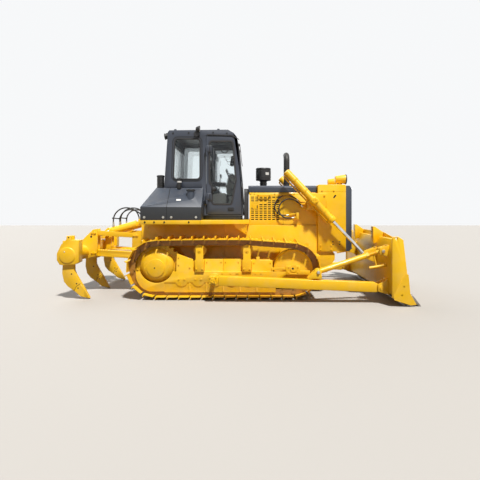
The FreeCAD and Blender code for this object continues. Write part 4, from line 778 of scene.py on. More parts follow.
# Each black slot is a plate of painted shade; three more stand above the two short columns.
slots, lips = [], []
for column, rows in enumerate(BETWEEN):
    x = SLOT_X + SLOT_STEP_X * column
    heights = [SLOT_Z + SLOT_STEP_Z * row + 0.006 for row in range(4 if column < 2 else 7)]
    extra = [1.745, 1.780, 1.815] if column < 2 else []
    between = [SLOT_Z + SLOT_STEP_Z * row + 0.0405 for row in rows] + extra
    slots += [rect(x, z, x + 0.056, z + 0.019) for z in between]
    lips += [(x + 0.028, z + 0.021) for z in heights + between]
seams("louvre_slots", HOOD_SIDE, slots, 0.0010)
lip_places = [((x, side * (HOOD_SIDE + 0.0010), z), (math.pi / 2, 0, turn))
              for side, turn in ((-1, 0), (1, math.pi)) for x, z in lips]
set_pieces("louvre_lips", lip_unit(), lip_places, GOLD_ENAMEL)
# Black sheets inside the hood side are painted shade behind the louvres.
plates("hood_sound_mats", [rect(0.300, 1.360, 0.930, 1.880)], (-HOOD_SIDE + 0.040, -HOOD_SIDE + 0.050), BLACK_AND_PAINTED_SHADE,
       edge=0)


def bent_rod(name, lines, radius, material=GOLD_ENAMEL, body="root", mirror=True):
    """Round rods bent to smooth lines, as one mesh, and the same on the machine's left."""
    work = bmesh.new()
    for line in lines:
        for hand in ((1, -1) if mirror else (1,)):
            curve = soft_line(name + "_line", [(x, y * hand, z) for x, y, z in line], radius, material)
            mesh = evaluated_mesh(curve)
            work.from_mesh(mesh)
            bpy.data.objects.remove(curve)
            bpy.data.meshes.remove(mesh)
    bmesh.ops.remove_doubles(work, verts=work.verts, dist=1e-6)
    return finished(name, work, material, body, angle=math.radians(60))


def handle_line(start, end, out):
    """The line of a bow handle on the right side from start to end in X, standing off the face."""
    start, end, lift = Vector((start, -HOOD_SIDE, HANDLE_Z)), Vector((end, -HOOD_SIDE, HANDLE_Z)), Vector((0, -out, 0))
    near, far = start.lerp(end, 0.06), end.lerp(start, 0.06)
    return [start, start + lift * 0.85, near + lift, near.lerp(far, 0.1) + lift, near.lerp(far, 0.9) + lift,
            far + lift, end + lift * 0.85, end]


bent_rod("hood_handles", [handle_line(0.457, 0.677, 0.045), handle_line(0.857, 1.069, 0.045)], 0.008)
discs("hood_handle_feet", 0.019, 0.005, at(-HOOD_SIDE, [(x, HANDLE_Z) for x in (0.457, 0.677, 0.857, 1.069)]))
bolts("hood_bolts", 0.018, at(-HOOD_SIDE, [(x, 1.885) for x in (0.320, 0.383, 0.772, 1.140)]
                              + [(x, 1.310) for x in (0.320, 0.600, 0.900, 1.300)]))
plates("hood_latch_recess", [rect(0.350, 1.604, 0.457, 1.677)], (-HOOD_SIDE - 0.004, -HOOD_SIDE + 0.001))
plates("hood_latch", [rect(0.432, 1.612, 0.448, 1.668)], (-HOOD_SIDE - 0.010, -HOOD_SIDE - 0.003), BLACK_AND_PAINTED_SHADE)
seams("hood_panel_seams", HOOD_SIDE, [rect(0.928, 1.300, 0.932, 1.908)], 0.0012)
seams("hood_cover_seams", HOOD_SIDE, [rect(0.285, 1.9115, 1.560, 1.9175)], 0.002)
bolts("hood_top_bolts", 0.020, [(x, y, 2.0415) for x in (0.44, 0.90, 1.36) for y in (-0.36, 0.36)], SLATE_ENAMEL,
      normal=(0, 0, 1), mirror=False)
COWL_RUBBER = rubber("cowl_rubber")
plates("cowl_seal", [[(-0.500, 1.400), (-0.500, 1.900), (-0.460, 1.985), (0.460, 1.985), (0.500, 1.900),
                      (0.500, 1.400)]], (0.190, 0.268), COWL_RUBBER, plane="YZ", edge=0.008, mirror=False)

# Fenders: a folded deck over each track with a gusset below its front edge, and a raised
# pattern pressed into the step beside the cab.
FENDER_EDGE = 1.190
GUSSET_SIDE = 0.860
TREAD_STEP = 0.030
dress("fenders", GOLD_ENAMEL)
# The fender's bolt heads are flat black, painted shade.
bolts("fender_bolts", 0.022, at(-FENDER_EDGE, [(x, 1.364) for x in (-1.527, -1.365, -1.188, -0.760)]), BLACK_AND_PAINTED_SHADE)
bolts("gusset_bolts", 0.022, at(-GUSSET_SIDE, [(0.233, 1.185), (0.147, 1.235), (0.233, 1.290)]))
seams("fender_seams", FENDER_EDGE, [rect(-0.566, 1.330, -0.562, 1.390)], 0.0012, sunk=0.002)
work = bmesh.new()
add_rings(work, [[(-long, 0, z), (0, -wide, z), (long, 0, z), (0, wide, z)]
                 for long, wide, z in ((0.014, 0.005, 0), (0.009, 0.003, 0.0022))])
treads = []
for row in range(12):
    for column in range(27):
        x, y = -0.520 + TREAD_STEP * column, -0.835 - TREAD_STEP * row
        if x > -0.500 and -y > FENDER_EDGE - (x + 0.500) * 0.330 / 0.790 - 0.015:
            continue
        lean = 0.785 if (row + column) % 2 else -0.785
        treads += [((x, y, 1.3955), (0, 0, lean)), ((x, -y, 1.3955), (0, 0, -lean))]
set_pieces("tread_lozenges", new_mesh("lozenge", work), treads, GOLD_ENAMEL)

# Tanks: slate boxes of folded plate either side of the cab, with bright screws along the
# bottom edge, a filler neck with a black cap, and two black vents on the right one.
TANK_FOLD = 1.625
TANK_SLATE = (0.031, 0.042, 0.064)
# Below the fold, on the upright skirt, the tanks are coloured a darker grey than above.
TANK_COLOUR_BELOW_FOLD = (0.022, 0.025, 0.029)
FILLER_SPOT = (-0.753, 1.005, 1.912)
CAP_RADIUS = 0.074
VENT_SPOT = (-1.356, -0.700, 0)
PIPE_SPOT = (-0.984, -0.855, 0)
dress("tanks", enamel("tank_enamel", TANK_SLATE, rough=0.40, coat=0.1, lower=(TANK_COLOUR_BELOW_FOLD, TANK_FOLD)), 0.007)
dress("tank_breathers", BLACK_ENAMEL)
bolts("tank_bolts", 0.030, at(-FENDER_EDGE, [(x, 1.448) for x in (-1.536, -1.207, -1.066, -0.635)]), ZINC)
seams("tank_seams", FENDER_EDGE, [rect(-1.152, 1.400, -1.144, 1.628)], 0.0015, sunk=0.002)
slope = [(-1.188, 1.627), (-0.850, 1.980), (-0.8528, 1.9828), (-1.1928, 1.6298)]
for name, hand in (("tank_slope_seams", 1), ("tank_slope_seams_left", -1)):
    plates(name, [[(hand * y, z) for y, z in slope]], (-1.152, -1.144), BLACK_AND_PAINTED_SHADE, plane="YZ", edge=0, mirror=False)
WHITE_LABEL = enamel("bare_white_label", (0.75, 0.75, 0.73), rough=0.5, dust=0.05, coat=0.0)


def turned(name, parts, material, body="root"):
    """Turned parts as one piece. Each part is its profile, its centre, its axis and its steps."""
    work = bmesh.new()
    for part in parts:
        add_turned(work, *part)
    return finished(name, work, material, body)


caps = []
for hand in (-1, 1):
    x, y, z = FILLER_SPOT[0], hand * FILLER_SPOT[1], FILLER_SPOT[2]
    caps.append(([(0.060, z), (CAP_RADIUS, z + 0.004), (CAP_RADIUS, z + 0.026), (0.066, z + 0.034), (0.020, z + 0.036),
                  (0.0, z + 0.036)], (x, y, 0), "Z", 32))
    grips = [2 * math.pi * n / 10 for n in range(10)]
    caps += [([(0.007, z + 0.006), (0.007, z + 0.026)],
              (x + CAP_RADIUS * math.cos(a), y + CAP_RADIUS * math.sin(a), 0), "Z", 8) for a in grips]
turned("filler_caps", caps, BLACK_ENAMEL)
vent_bands = [[(0.0655, 1.990), (0.0690, 1.992), (0.0690, 2.010), (0.0655, 2.012)],
              [(0.0655, 2.185), (0.0720, 2.188), (0.0720, 2.214), (0.050, 2.224), (0.0, 2.226)]]
vent_bands += [[(0.0655, z), (0.0685, z + 0.003), (0.0685, z + 0.009), (0.0655, z + 0.012)]
               for z in [2.040 + 0.026 * n for n in range(5)]]
turned("vent_rings", [(band, VENT_SPOT, "Z", 32) for band in vent_bands], BLACK_ENAMEL)
turned("pipe_cap", [([(0.0400, 2.133), (0.0450, 2.135), (0.0450, 2.150), (0.028, 2.162), (0.0, 2.165)],
                     PIPE_SPOT, "Z", 28)], BLACK_ENAMEL)
turned("pipe_band", [([(0.0402, 2.075), (0.0415, 2.076), (0.0415, 2.099), (0.0402, 2.100)], PIPE_SPOT, "Z", 28)],
       WHITE_LABEL)

# Cab. A slate shell of pressed and welded steel whose windows sit in black rubber frames. The
# doors hang on bolted hinges, and a drip rail of black rubber runs above each of them.
CAB_SIDE = 0.780
SIDES = (("right", -1), ("left", 1))
for node in ("cab_base", "cab_sides", "cab_front", "cab_rear"):
    dress(node, SLATE_ENAMEL, 0.004)
dress("cab_roof", SLATE_ENAMEL, 0.010)
dress("cab_floor", BLACK_ENAMEL)
dress("door_right", SLATE_ENAMEL, 0.004)
dress("door_left", SLATE_ENAMEL, 0.004)
WINDOW_RUBBER = rubber("window_rubber", (0.022, 0.022, 0.024), rough=0.6)
glass = Finish("cab_glass_tint", {"Transmission Weight": 1.0, "IOR": 1.45, "Alpha": 0.45})
film = glass.ranged(glass.noise(6.0, 6, 0.7), 0.45, 0.8, 0.0, 0.35)
glass.feed({"Base Color": glass.blend(film, (0.80, 0.90, 0.92), (0.70, 0.80, 0.80)),
            "Roughness": glass.ranged(glass.noise(24.0, 5, 0.7), 0.5, 0.8, 0.01, 0.07)})
CAB_GLASS = glass.material
for node in ("cab_glass", "door_glass_right", "door_glass_left"):
    dress(node, CAB_GLASS, 0)


def rounded(outline, radius, steps=5):
    """The outline with its corners turned round."""
    points = [Vector(point) for point in outline]
    result = []
    for before, corner, after in zip(points[-1:] + points[:-1], points, points[1:] + points[:1]):
        back, on = (before - corner).normalized(), (after - corner).normalized()
        half = back.angle(on) / 2
        reach = min(radius / math.tan(half), 0.45 * (before - corner).length, 0.45 * (after - corner).length)
        size = reach * math.tan(half)
        centre = corner + (back + on).normalized() * (size / math.sin(half))
        start = (corner + back * reach) - centre
        end = (corner + on * reach) - centre
        turn = start.angle_signed(end)
        for step in range(steps + 1):
            angle = -turn * step / steps
            cos, sin = math.cos(angle), math.sin(angle)
            result.append(tuple(centre + Vector((start.x * cos - start.y * sin, start.x * sin + start.y * cos))))
    return result


def offset(outline, step):
    """The outline moved outwards by a step at every corner."""
    points = [Vector(point) for point in outline]
    area = sum(a.x * b.y - b.x * a.y for a, b in zip(points, points[1:] + points[:1]))
    way = 1 if area > 0 else -1
    moved = []
    for before, point, after in zip(points[-1:] + points[:-1], points, points[1:] + points[:1]):
        first, second = (point - before).normalized(), (after - point).normalized()
        out1, out2 = Vector((first.y, -first.x)) * way, Vector((second.y, -second.x)) * way
        mean = (out1 + out2).normalized()
        moved.append(tuple(point + mean * (step / max(0.5, mean.dot(out1)))))
    return moved


def add_frame(work, inner, outer, low, high, plane="XZ"):
    """A flat frame between two outlines with as many corners."""
    add_rings(work, [in_plane(outline, level, plane) for outline, level in
                     ((inner, low), (outer, low), (outer, high), (inner, high))], closed=True)


SIDE_WINDOW = rounded([(-1.100, 2.150), (-0.620, 2.150), (-0.620, 2.880), (-1.075, 2.880)], 0.055)
DOOR_WINDOW = rounded([(-0.390, 2.010), (-0.390, 1.690), (-0.035, 1.690), (0.040, 2.119), (-0.015, 2.840),
                       (-0.440, 2.840), (-0.440, 2.090)], 0.045)
# Each frame round the side windows: its name, its steps in and out, its two faces, its finish, its edge
for name, steps, faces, material, edge in (
        ("side_window_rubbers", (-0.006, 0.018), (CAB_SIDE - 0.020, CAB_SIDE + 0.014), WINDOW_RUBBER, 0.005),
        ("side_window_beads", (0.034, 0.048), (CAB_SIDE, CAB_SIDE + 0.003), BLACK_ENAMEL, 0)):
    work = bmesh.new()
    for hand in (-1, 1):
        add_frame(work, offset(SIDE_WINDOW, steps[0]), offset(SIDE_WINDOW, steps[1]), *sided(hand, *faces))
    finished(name, work, material, edge=edge)
for side, hand in SIDES:
    work = bmesh.new()
    add_frame(work, offset(DOOR_WINDOW, -0.012), offset(DOOR_WINDOW, 0.020),
              *sided(hand, CAB_SIDE + 0.008, CAB_SIDE - 0.022))
    finished("door_window_rubber_" + side, work, WINDOW_RUBBER, "door_" + side, 0.004)

# Windscreen and rear light: flat panes held in rubber, the windscreen leaning with the frame.
FRONT_CORNERS = ((1.470, 0.178), (2.119, 0.140), (2.918, 0.064))
SCREENS = [rounded(rect(-0.640, 2.130, 0.640, 2.860), 0.05), rounded(rect(-0.640, 1.720, -0.240, 2.060), 0.03),
           rounded(rect(0.240, 1.720, 0.640, 2.060), 0.03)]
REAR_LIGHT = rounded(rect(-0.620, 2.160, 0.620, 2.850), 0.05)


def screen_x(z):
    """Outer face of the cab's front at a height."""
    for (z0, x0), (z1, x1) in zip(FRONT_CORNERS, FRONT_CORNERS[1:]):
        if z <= z1:
            break
    return x0 + (x1 - x0) * (z - z0) / (z1 - z0)


def rear_x(z):
    """Outer face of the cab's rear at a height."""
    return -1.277 + (z - 1.988) * 0.068 / 1.022


def leaning(outline, face_x, step):
    """The places of an outline in Y and Z, a step ahead of a leaning face."""
    return [(face_x(z) + step, y, z) for y, z in outline]


def add_leaning_frame(work, outline, face_x, sunk, proud):
    """A rubber frame round an opening in a leaning face."""
    inner, outer = offset(outline, -0.012), offset(outline, 0.026)
    add_rings(work, [leaning(edge, face_x, step) for edge, step in
                     ((inner, sunk), (outer, sunk), (outer, proud), (inner, proud))], closed=True)


work = bmesh.new()
for outline in SCREENS:
    add_leaning_frame(work, outline, screen_x, -0.002, 0.006)
finished("screen_rubbers", work, WINDOW_RUBBER)
work = bmesh.new()
for outline in SCREENS:
    add_rings(work, [leaning(offset(outline, -0.003), screen_x, step) for step in (-0.026, -0.020)])
finished("screen_panes", work, CAB_GLASS)
work = bmesh.new()
add_leaning_frame(work, REAR_LIGHT, rear_x, 0.002, -0.006)
finished("rear_rubber", work, WINDOW_RUBBER)

# Door furniture: three screws to each hinge leaf, a turned paddle latch in its dish, the drip
# rail, and a stay knob on the sill.
HINGES_Z = (1.760, 2.640)
KNUCKLES_Z = (1.680, 2.560)
LATCH_DISH = rounded(rect(-0.105, 1.560, 0.010, 1.625), 0.02)
LATCH_PADDLE = rounded([(-0.095, 1.580), (-0.010, 1.575), (-0.005, 1.590), (-0.020, 1.612), (-0.095, 1.605)], 0.006)
DRIP_RAIL = [(-0.485, 2.972), (-0.020, 2.958), (0.100, 2.878), (0.104, 2.862), (-0.030, 2.938), (-0.485, 2.953)]
STAY_KNOB = [(0.0, 0.0), (0.030, 0.0), (0.030, 0.012), (0.022, 0.016), (0.022, 0.030), (0.034, 0.034), (0.034, 0.046),
             (0.026, 0.052), (0.0, 0.053)]
LUG_EYES = ((-0.650, -0.6485), (-0.6805, -0.6685), (0.650, 0.6515), (0.6595, 0.6715))


def prisms(name, parts, material, body="root", edge=0.0):
    """Thick plates as one piece. Each is its outline, its two faces and the plane it lies in."""
    work = bmesh.new()
    for part in parts:
        add_prism(work, *part)
    return finished(name, work, material, body, edge)


for side, hand in SIDES:
    door = "door_" + side
    leaf = at(hand * (CAB_SIDE + 0.022), [(-0.432, z + step) for z in HINGES_Z for step in (0.022, 0.060, 0.098)])
    bolts("door_hinge_bolts_" + side, 0.017, leaf, BLACK_ENAMEL, door, (0, hand, 0), False)
    work = bmesh.new()
    add_frame(work, offset(LATCH_DISH, -0.010), LATCH_DISH, *sided(hand, CAB_SIDE, CAB_SIDE + 0.006))
    add_prism(work, LATCH_PADDLE, *sided(hand, CAB_SIDE + 0.001, CAB_SIDE + 0.018))
    finished("door_latch_" + side, work, BLACK_ENAMEL, door, 0.002)
    knob_place = ((-0.366, hand * CAB_SIDE, 1.957), facing((0, hand, 0)))
    set_pieces("door_knob_" + side, turned_unit(STAY_KNOB, 20), [knob_place], BLACK_ENAMEL, door)
    prisms("drip_rail_" + side, [(DRIP_RAIL, *sided(hand, CAB_SIDE - 0.002, CAB_SIDE + 0.016))], WINDOW_RUBBER,
           edge=0.003)
bolts("frame_hinge_bolts", 0.015, at(-0.802, [(-0.522, z + step) for z in KNUCKLES_Z
                                              for step in (0.016, 0.040, 0.064)]), BLACK_ENAMEL)
bolts("roof_edge_bolts", 0.022, at(-CAB_SIDE, [(-1.111, 2.990), (-0.825, 2.995), (-0.374, 3.002), (-0.121, 2.990)]),
      BLACK_ENAMEL)
seams("cab_sill_seams", CAB_SIDE, [rect(-0.480, 1.488, 0.150, 1.496)], 0.0012, sunk=0.002)
# Black cylinders fill the lifting lugs' eyes as painted shade.
turned("lifting_lug_eyes", [([(0.012, low), (0.012, high)], (x, 0, z), "Y", 16)
                            for x, z in ((-0.287, 3.074), (-1.090, 3.066)) for low, high in LUG_EYES], BLACK_AND_PAINTED_SHADE)

# Wiper on the windscreen, mirror on the pillar inside, and the grab loops that an operator
# pulls up by.
WIPER_BLADE = [(-0.315, 2.180), (-0.300, 2.176), (-0.160, 2.690), (-0.175, 2.694)]
WIPER_PIVOT = [(0.0, 0.0), (0.030, 0.0), (0.030, 0.020), (0.018, 0.030), (0.0, 0.030)]
MIRROR = rounded([(-0.075, 2.400), (-0.020, 2.385), (0.030, 2.430), (0.010, 2.570), (-0.045, 2.590)], 0.03)
bent_rod("wiper_arm", [[(0.086, -0.060, 2.900), (0.100, -0.075, 2.885), (0.118, -0.150, 2.700),
                        (0.142, -0.230, 2.480), (0.152, -0.240, 2.440)],
                       [(0.082, 0.060, 2.905), (0.092, 0.060, 2.895), (0.100, 0.030, 2.870)]],
         0.006, BLACK_ENAMEL, mirror=False)
work = bmesh.new()
add_rings(work, [leaning(WIPER_BLADE, screen_x, step) for step in (0.006, 0.020)])
finished("wiper_blade", work, WINDOW_RUBBER, edge=0.002)
set_pieces("wiper_pivot", turned_unit(WIPER_PIVOT, 20), [((0.070, -0.060, 2.885), facing((1, 0, 0.1)))], BLACK_ENAMEL)
prisms("inside_mirror", [(MIRROR, -0.690, -0.665)], BLACK_ENAMEL, edge=0.005)
bent_rod("grab_loops", [[(-0.080, -0.735, 2.700), (-0.100, -0.700, 2.700), (-0.110, -0.690, 2.660),
                         (-0.170, -0.690, 2.630), (-0.220, -0.690, 2.660), (-0.230, -0.700, 2.700),
                         (-0.240, -0.735, 2.700)]], 0.010, BLACK_ENAMEL)
bent_rod("mirror_stays", [[(0.020, -0.735, 2.520), (0.000, -0.720, 2.520), (-0.010, -0.680, 2.505)]], 0.008,
         BLACK_ENAMEL, mirror=False)

# Roof lamps and beacon. Black die-cast housings with ribbed glass, and an amber dome.
ROOF_LAMP = (-0.648, 0.862, 3.050)
REAR_LAMP = (-1.262, 0.600, 2.962)
BEACON_SPOT = (-0.560, 0, 0)
LAMP_BOWL = [(0.0, -0.034), (0.026, -0.034), (0.034, -0.028), (0.052, 0.004), (0.056, 0.020), (0.060, 0.022),
             (0.060, 0.038), (0.052, 0.040), (0.050, 0.030), (0.0, 0.020)]
pressed = Finish("lamp_glass", {"Transmission Weight": 0.75, "IOR": 1.5})
clouds = pressed.ranged(pressed.noise(12.0), 0.4, 0.7)
pressed.feed({"Base Color": pressed.blend(clouds, (0.86, 0.88, 0.88), (0.74, 0.76, 0.76)),
              "Roughness": pressed.ranged(pressed.noise(30.0), 0.3, 0.7, 0.04, 0.12)})
pressed.relief(pressed.waves("Y", 30.0), 0.003, 0.6)
LAMP_GLASS = pressed.material
REFLECTOR = metal("lamp_reflector", (0.85, 0.85, 0.83), 0.12)


def lens_unit(radius, depth):
    """A slightly domed lamp lens."""
    return turned_unit([(radius * 0.80, depth - 0.004), (radius * 0.80, depth + 0.001), (radius * 0.55, depth + 0.006),
                        (radius * 0.28, depth + 0.009), (0.0, depth + 0.010)], 28)


lamp_places = [((ROOF_LAMP[0], hand * ROOF_LAMP[1], ROOF_LAMP[2]), facing((1, 0, -0.08))) for hand in (-1, 1)]
lamp_places += [((REAR_LAMP[0], hand * REAR_LAMP[1], REAR_LAMP[2]), facing((-1, 0, -0.15))) for hand in (-1, 1)]
lamp_bowls = set_pieces("work_lamp_bowls", turned_unit(LAMP_BOWL, 28), lamp_places, BLACK_ENAMEL)
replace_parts(lamp_bowls, "work_lamps")
set_pieces("work_lamp_lenses", lens_unit(0.062, 0.034), lamp_places, LAMP_GLASS)
set_pieces("work_lamp_reflectors", disc_unit(0.046, 0.001), lamp_places, REFLECTOR)
work = bmesh.new()
for hand in (-1, 1):
    add_prism(work, rounded(rect(-0.720, 2.915, -0.620, 3.010), 0.02), *sided(hand, CAB_SIDE - 0.002, CAB_SIDE + 0.008))
    low, high = sided(hand, CAB_SIDE + 0.008, 0.865)
    add_turned(work, [(0.052, low), (0.052, high)], (-0.670, 0, 2.962), "Y", 24)
    add_turned(work, [(0.014, 2.990), (0.014, 3.030)], (-0.662, hand * ROOF_LAMP[1], 0), "Z", 12)
for y in (-REAR_LAMP[1], REAR_LAMP[1]):
    add_prism(work, rect(-1.270, 3.010, -1.210, 3.022), y - 0.020, y + 0.020)
    add_prism(work, rect(-1.256, 2.990, -1.244, 3.022), y - 0.020, y + 0.020)
finished("work_lamp_brackets", work, BLACK_ENAMEL, edge=0.002)
amber = Finish("amber_dome", {"Transmission Weight": 0.45, "IOR": 1.49, "Emission Strength": 0.25})
glow = amber.blend(amber.ranged(amber.noise(18.0, 3), 0.35, 0.65), (1.0, 0.42, 0.02), (0.95, 0.30, 0.01))
amber.feed({"Base Color": glow, "Emission Color": glow,
            "Roughness": amber.ranged(amber.noise(50.0), 0.3, 0.7, 0.08, 0.16)})
amber.relief(amber.waves("Z", 40.0), 0.002)
dome = turned("beacon_dome", [([(0.036, 3.080), (0.0385, 3.086), (0.0385, 3.165), (0.036, 3.180), (0.028, 3.192),
                                (0.014, 3.199), (0.0, 3.201)], BEACON_SPOT, "Z", 28)], amber.material)
foot = turned("beacon_foot", [([(0.042, 3.0518), (0.042, 3.070), (0.039, 3.076), (0.039, 3.0815), (0.0, 3.0815)],
                               BEACON_SPOT, "Z", 28)], BLACK_ENAMEL)
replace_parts(dome, "beacon")
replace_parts(foot, "beacon")

# Operator's seat: a pressed pan on a suspension box, with foam cushions covered in dark woven
# cloth, piped along their edges, and a padded armrest on each side.
CLOTH_DARK = (0.028, 0.029, 0.032)
CLOTH_WORN = (0.085, 0.087, 0.092)
THREADS = 150.0
CUSHION_GRID = 0.018
cloth = Finish("seat_cloth", {"Sheen Weight": 0.35, "Sheen Roughness": 0.5})
weave = cloth.maths("MULTIPLY", cloth.waves("Y", THREADS, 0.6), cloth.waves("Z", THREADS, 0.6))
worn = cloth.ranged(cloth.noise(7.0, 5, 0.65), 0.35, 0.7, 0.0, 0.5)
shade = cloth.maths("ADD", cloth.maths("MULTIPLY", weave, 0.5), cloth.maths("MULTIPLY", worn, 0.5))
cloth.feed({"Base Color": cloth.blend(shade, CLOTH_DARK, CLOTH_WORN),
            "Roughness": cloth.ranged(cloth.noise(60.0), 0.3, 0.7, 0.80, 0.95)})
cloth.relief(weave, 0.0012, 0.5)
MOULDED_BLACK = rubber("moulded_plastic", (0.020, 0.020, 0.021), rough=0.45)


def cushion(name, low, high, crown, seam_lines, thin=2, rake=0.0):
    """A sewn foam pad between two corners, crowned on its faces across one axis, with seams across it.

    The pad is a closed grid on a rounded block. Its sides pull in between its corners, and each
    seam is a sewn channel that runs the pad's width.
    """
    low, high = Vector(low), Vector(high)
    centre, half = (low + high) / 2, (high - low) / 2
    counts = [max(8, int(half[n] * 2 / CUSHION_GRID)) for n in range(3)]
    work = bmesh.new()
    bmesh.ops.create_cube(work, size=2.0)
    for axis in range(3):
        edges = [e for e in work.edges if abs((e.verts[0].co - e.verts[1].co)[axis]) > 1.5]
        bmesh.ops.subdivide_edges(work, edges=edges, cuts=counts[axis], use_grid_fill=True)
    wide = [n for n in range(3) if n != thin]
    for vert in work.verts:
        a, b, c = vert.co[wide[0]], vert.co[wide[1]], vert.co[thin]
        depth = 0.80 + crown * (1 - a ** 4) * (1 - b ** 4)
        for line in seam_lines:
            depth -= 0.16 * math.exp(-(abs(a - line) / 0.045) ** 2) * (1 - b ** 6)
        piping = 0.06 * math.exp(-((abs(c) - 0.92) / 0.10) ** 2)
        pulled = 1.0 - 0.030 * (1 - c * c) - 0.020 * (1 - abs(c)) + piping * 0.35
        corner = min(1.0, math.hypot(max(0, abs(a) - 0.80), max(0, abs(b) - 0.80)) / 0.283)
        place = Vector((0, 0, 0))
        place[wide[0]] = a * (pulled - 0.055 * corner) * half[wide[0]]
        place[wide[1]] = b * (pulled - 0.055 * corner) * half[wide[1]]
        place[thin] = c * depth * half[thin]
        vert.co = centre + place
        vert.co.x += rake * (vert.co.z - low.z)
    piece = finished(name, work, SEAT_CLOTH, angle=math.radians(80))
    subdivide = piece.modifiers.new("soft", "SUBSURF")
    subdivide.levels = subdivide.render_levels = 1
    piece.data = evaluated_mesh(piece)
    piece.data.shade_smooth()
    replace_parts(piece, "seat")


SEAT_CLOTH = cloth.material
cushion("seat_cushion", (-0.500, -0.255, 1.775), (-0.085, 0.255, 1.900), 0.24, (-0.45, 0.05, 0.5))
cushion("seat_back", (-0.520, -0.245, 1.885), (-0.405, 0.245, 2.440), 0.26, (-0.98,), thin=0, rake=-0.02)
cushion("seat_head_pad", (-0.530, -0.130, 2.450), (-0.450, 0.130, 2.600), 0.22, (), thin=0)
for side, y in (("right", -0.285), ("left", 0.285)):
    cushion("seat_arm_pad_" + side, (-0.440, y - 0.030, 2.075), (-0.160, y + 0.030, 2.120), 0.22, ())
work = bmesh.new()
add_prism(work, rounded(rect(-0.480, -0.240, -0.110, 0.240), 0.05), 1.755, 1.778, "XY")
bellows = rounded(rect(-0.430, -0.200, -0.130, 0.200), 0.03)
for step in range(7):
    z = 1.560 + 0.028 * step
    add_prism(work, offset(bellows, 0.012 if step % 2 else 0.0), z, z + 0.028, "XY")
add_prism(work, rounded(rect(-0.450, -0.215, -0.110, 0.215), 0.02), 1.5203, 1.560, "XY")
for y in (-0.285, 0.285):
    add_prism(work, [(-0.500, 1.960), (-0.470, 1.950), (-0.400, 2.060), (-0.180, 2.060), (-0.180, 2.078),
                     (-0.430, 2.078)], y - 0.018, y + 0.018)
    add_prism(work, rect(-0.510, 1.940, -0.470, 1.975), *sorted((y, math.copysign(0.225, y))))
for y in (-0.060, 0.060):
    add_turned(work, [(0.007, 2.400), (0.007, 2.480)], (-0.485, y, 0), "Z", 12)
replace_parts(finished("seat_frame", work, MOULDED_BLACK, edge=0.004), "seat")

# Front console: a grey moulded housing with a black top, round gauges that face the seat, two
# steering levers, a blade lever and pedals on a ribbed mat.
CONSOLE_GREY = enamel("console_grey", (0.120, 0.118, 0.108), rough=0.60, dust=0.10, coat=0.0)
PALE_MOULDING = enamel("pale_moulding", (0.40, 0.40, 0.38), rough=0.55, dust=0.1, coat=0.0)
DIAL_WHITE = enamel("dial_white", (0.55, 0.55, 0.52), rough=0.4, dust=0.0, coat=0.4)
SHELL = [(-0.010, 1.5204), (0.095, 1.5204), (0.072, 2.000), (0.052, 2.080), (-0.020, 2.060)]
HEAD = [(-0.125, 1.860), (0.045, 1.840), (0.052, 2.080), (0.020, 2.210), (-0.040, 2.262), (-0.095, 2.262),
        (-0.140, 2.180), (-0.165, 2.030), (-0.160, 1.920)]
COVER = [(0.045, 1.838), (0.075, 1.838), (0.080, 2.090), (0.042, 2.230), (-0.035, 2.288), (-0.100, 2.286),
         (-0.095, 2.262), (-0.040, 2.262), (0.020, 2.210), (0.052, 2.080)]
SIDE_CONSOLE = rounded([(-0.480, 1.5203), (-0.150, 1.5203), (-0.150, 1.900), (-0.480, 1.860)], 0.03)
GAUGES = ((-0.20, 2.170), (-0.07, 2.200), (0.07, 2.200), (0.20, 2.170))
LEVER_ENDS = ((-0.150, -0.345, 2.330), (-0.150, 0.345, 2.330), (-0.260, -0.440, 2.220))
console = prisms("console_shell", [(rounded(SHELL, 0.015), -0.320, 0.320)], CONSOLE_GREY, edge=0.006)
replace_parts(console, "console")
prisms("console_head", [(rounded(HEAD, 0.03), -0.300, 0.300)], CONSOLE_GREY, edge=0.010)
prisms("console_cover", [(COVER, -0.312, 0.312)], MOULDED_BLACK, edge=0.006)
discs("console_knobs", 0.022, 0.024, [(-0.054, -0.300, 1.972)], MOULDED_BLACK)
prisms("console_foot", [(rounded(rect(-0.120, 1.560, 0.000, 1.855), 0.02), -0.270, 0.270)], PALE_MOULDING, edge=0.006)
for name, radius, height, x_low, z_low, material in (("gauge_rims", 0.044, 0.012, -0.158, 0.060, BLACK_ENAMEL),
                                                     ("gauge_dials", 0.036, 0.0015, -0.170, 0.057, DIAL_WHITE)):
    discs(name, radius, height, [(x_low + (z - 2.080) * 0.22, y, z - z_low) for y, z in GAUGES], material,
          normal=(-0.97, 0, 0.24), mirror=False)
levers = [[(0.020, y, 2.070), (-0.010, y, 2.100), (-0.110, y, 2.160), (-0.150, y, 2.330)] for y in (-0.345, 0.345)]
levers.append([(-0.300, -0.440, 1.900), (-0.280, -0.440, 2.050), (-0.260, -0.440, 2.220)])
bent_rod("steering_levers", levers, 0.009, BLACK_ENAMEL, mirror=False)
turned("lever_knobs", [([(0.0, z - 0.030), (0.014, z - 0.030), (0.018, z - 0.010), (0.020, z + 0.020),
                         (0.014, z + 0.040), (0.0, z + 0.046)], (x, y, 0), "Z", 16) for x, y, z in LEVER_ENDS],
       MOULDED_BLACK)
prisms("side_consoles", [(SIDE_CONSOLE, *sided(hand, 0.300, 0.640)) for hand in (-1, 1)], CONSOLE_GREY, edge=0.008)
work = bmesh.new()
for y in (-0.130, 0.0, 0.130):
    add_prism(work, rounded(rect(y - 0.045, 1.600, y + 0.045, 1.740), 0.01), -0.060, -0.050, "YZ")
    for z in [1.620 + 0.024 * n for n in range(5)]:
        add_prism(work, rect(y - 0.037, z, y + 0.037, z + 0.010), -0.064, -0.059, "YZ")
    add_turned(work, [(0.008, -0.055), (0.008, 0.000)], (0, y, 1.640), "X", 10)
finished("pedals", work, MOULDED_BLACK, edge=0.002)
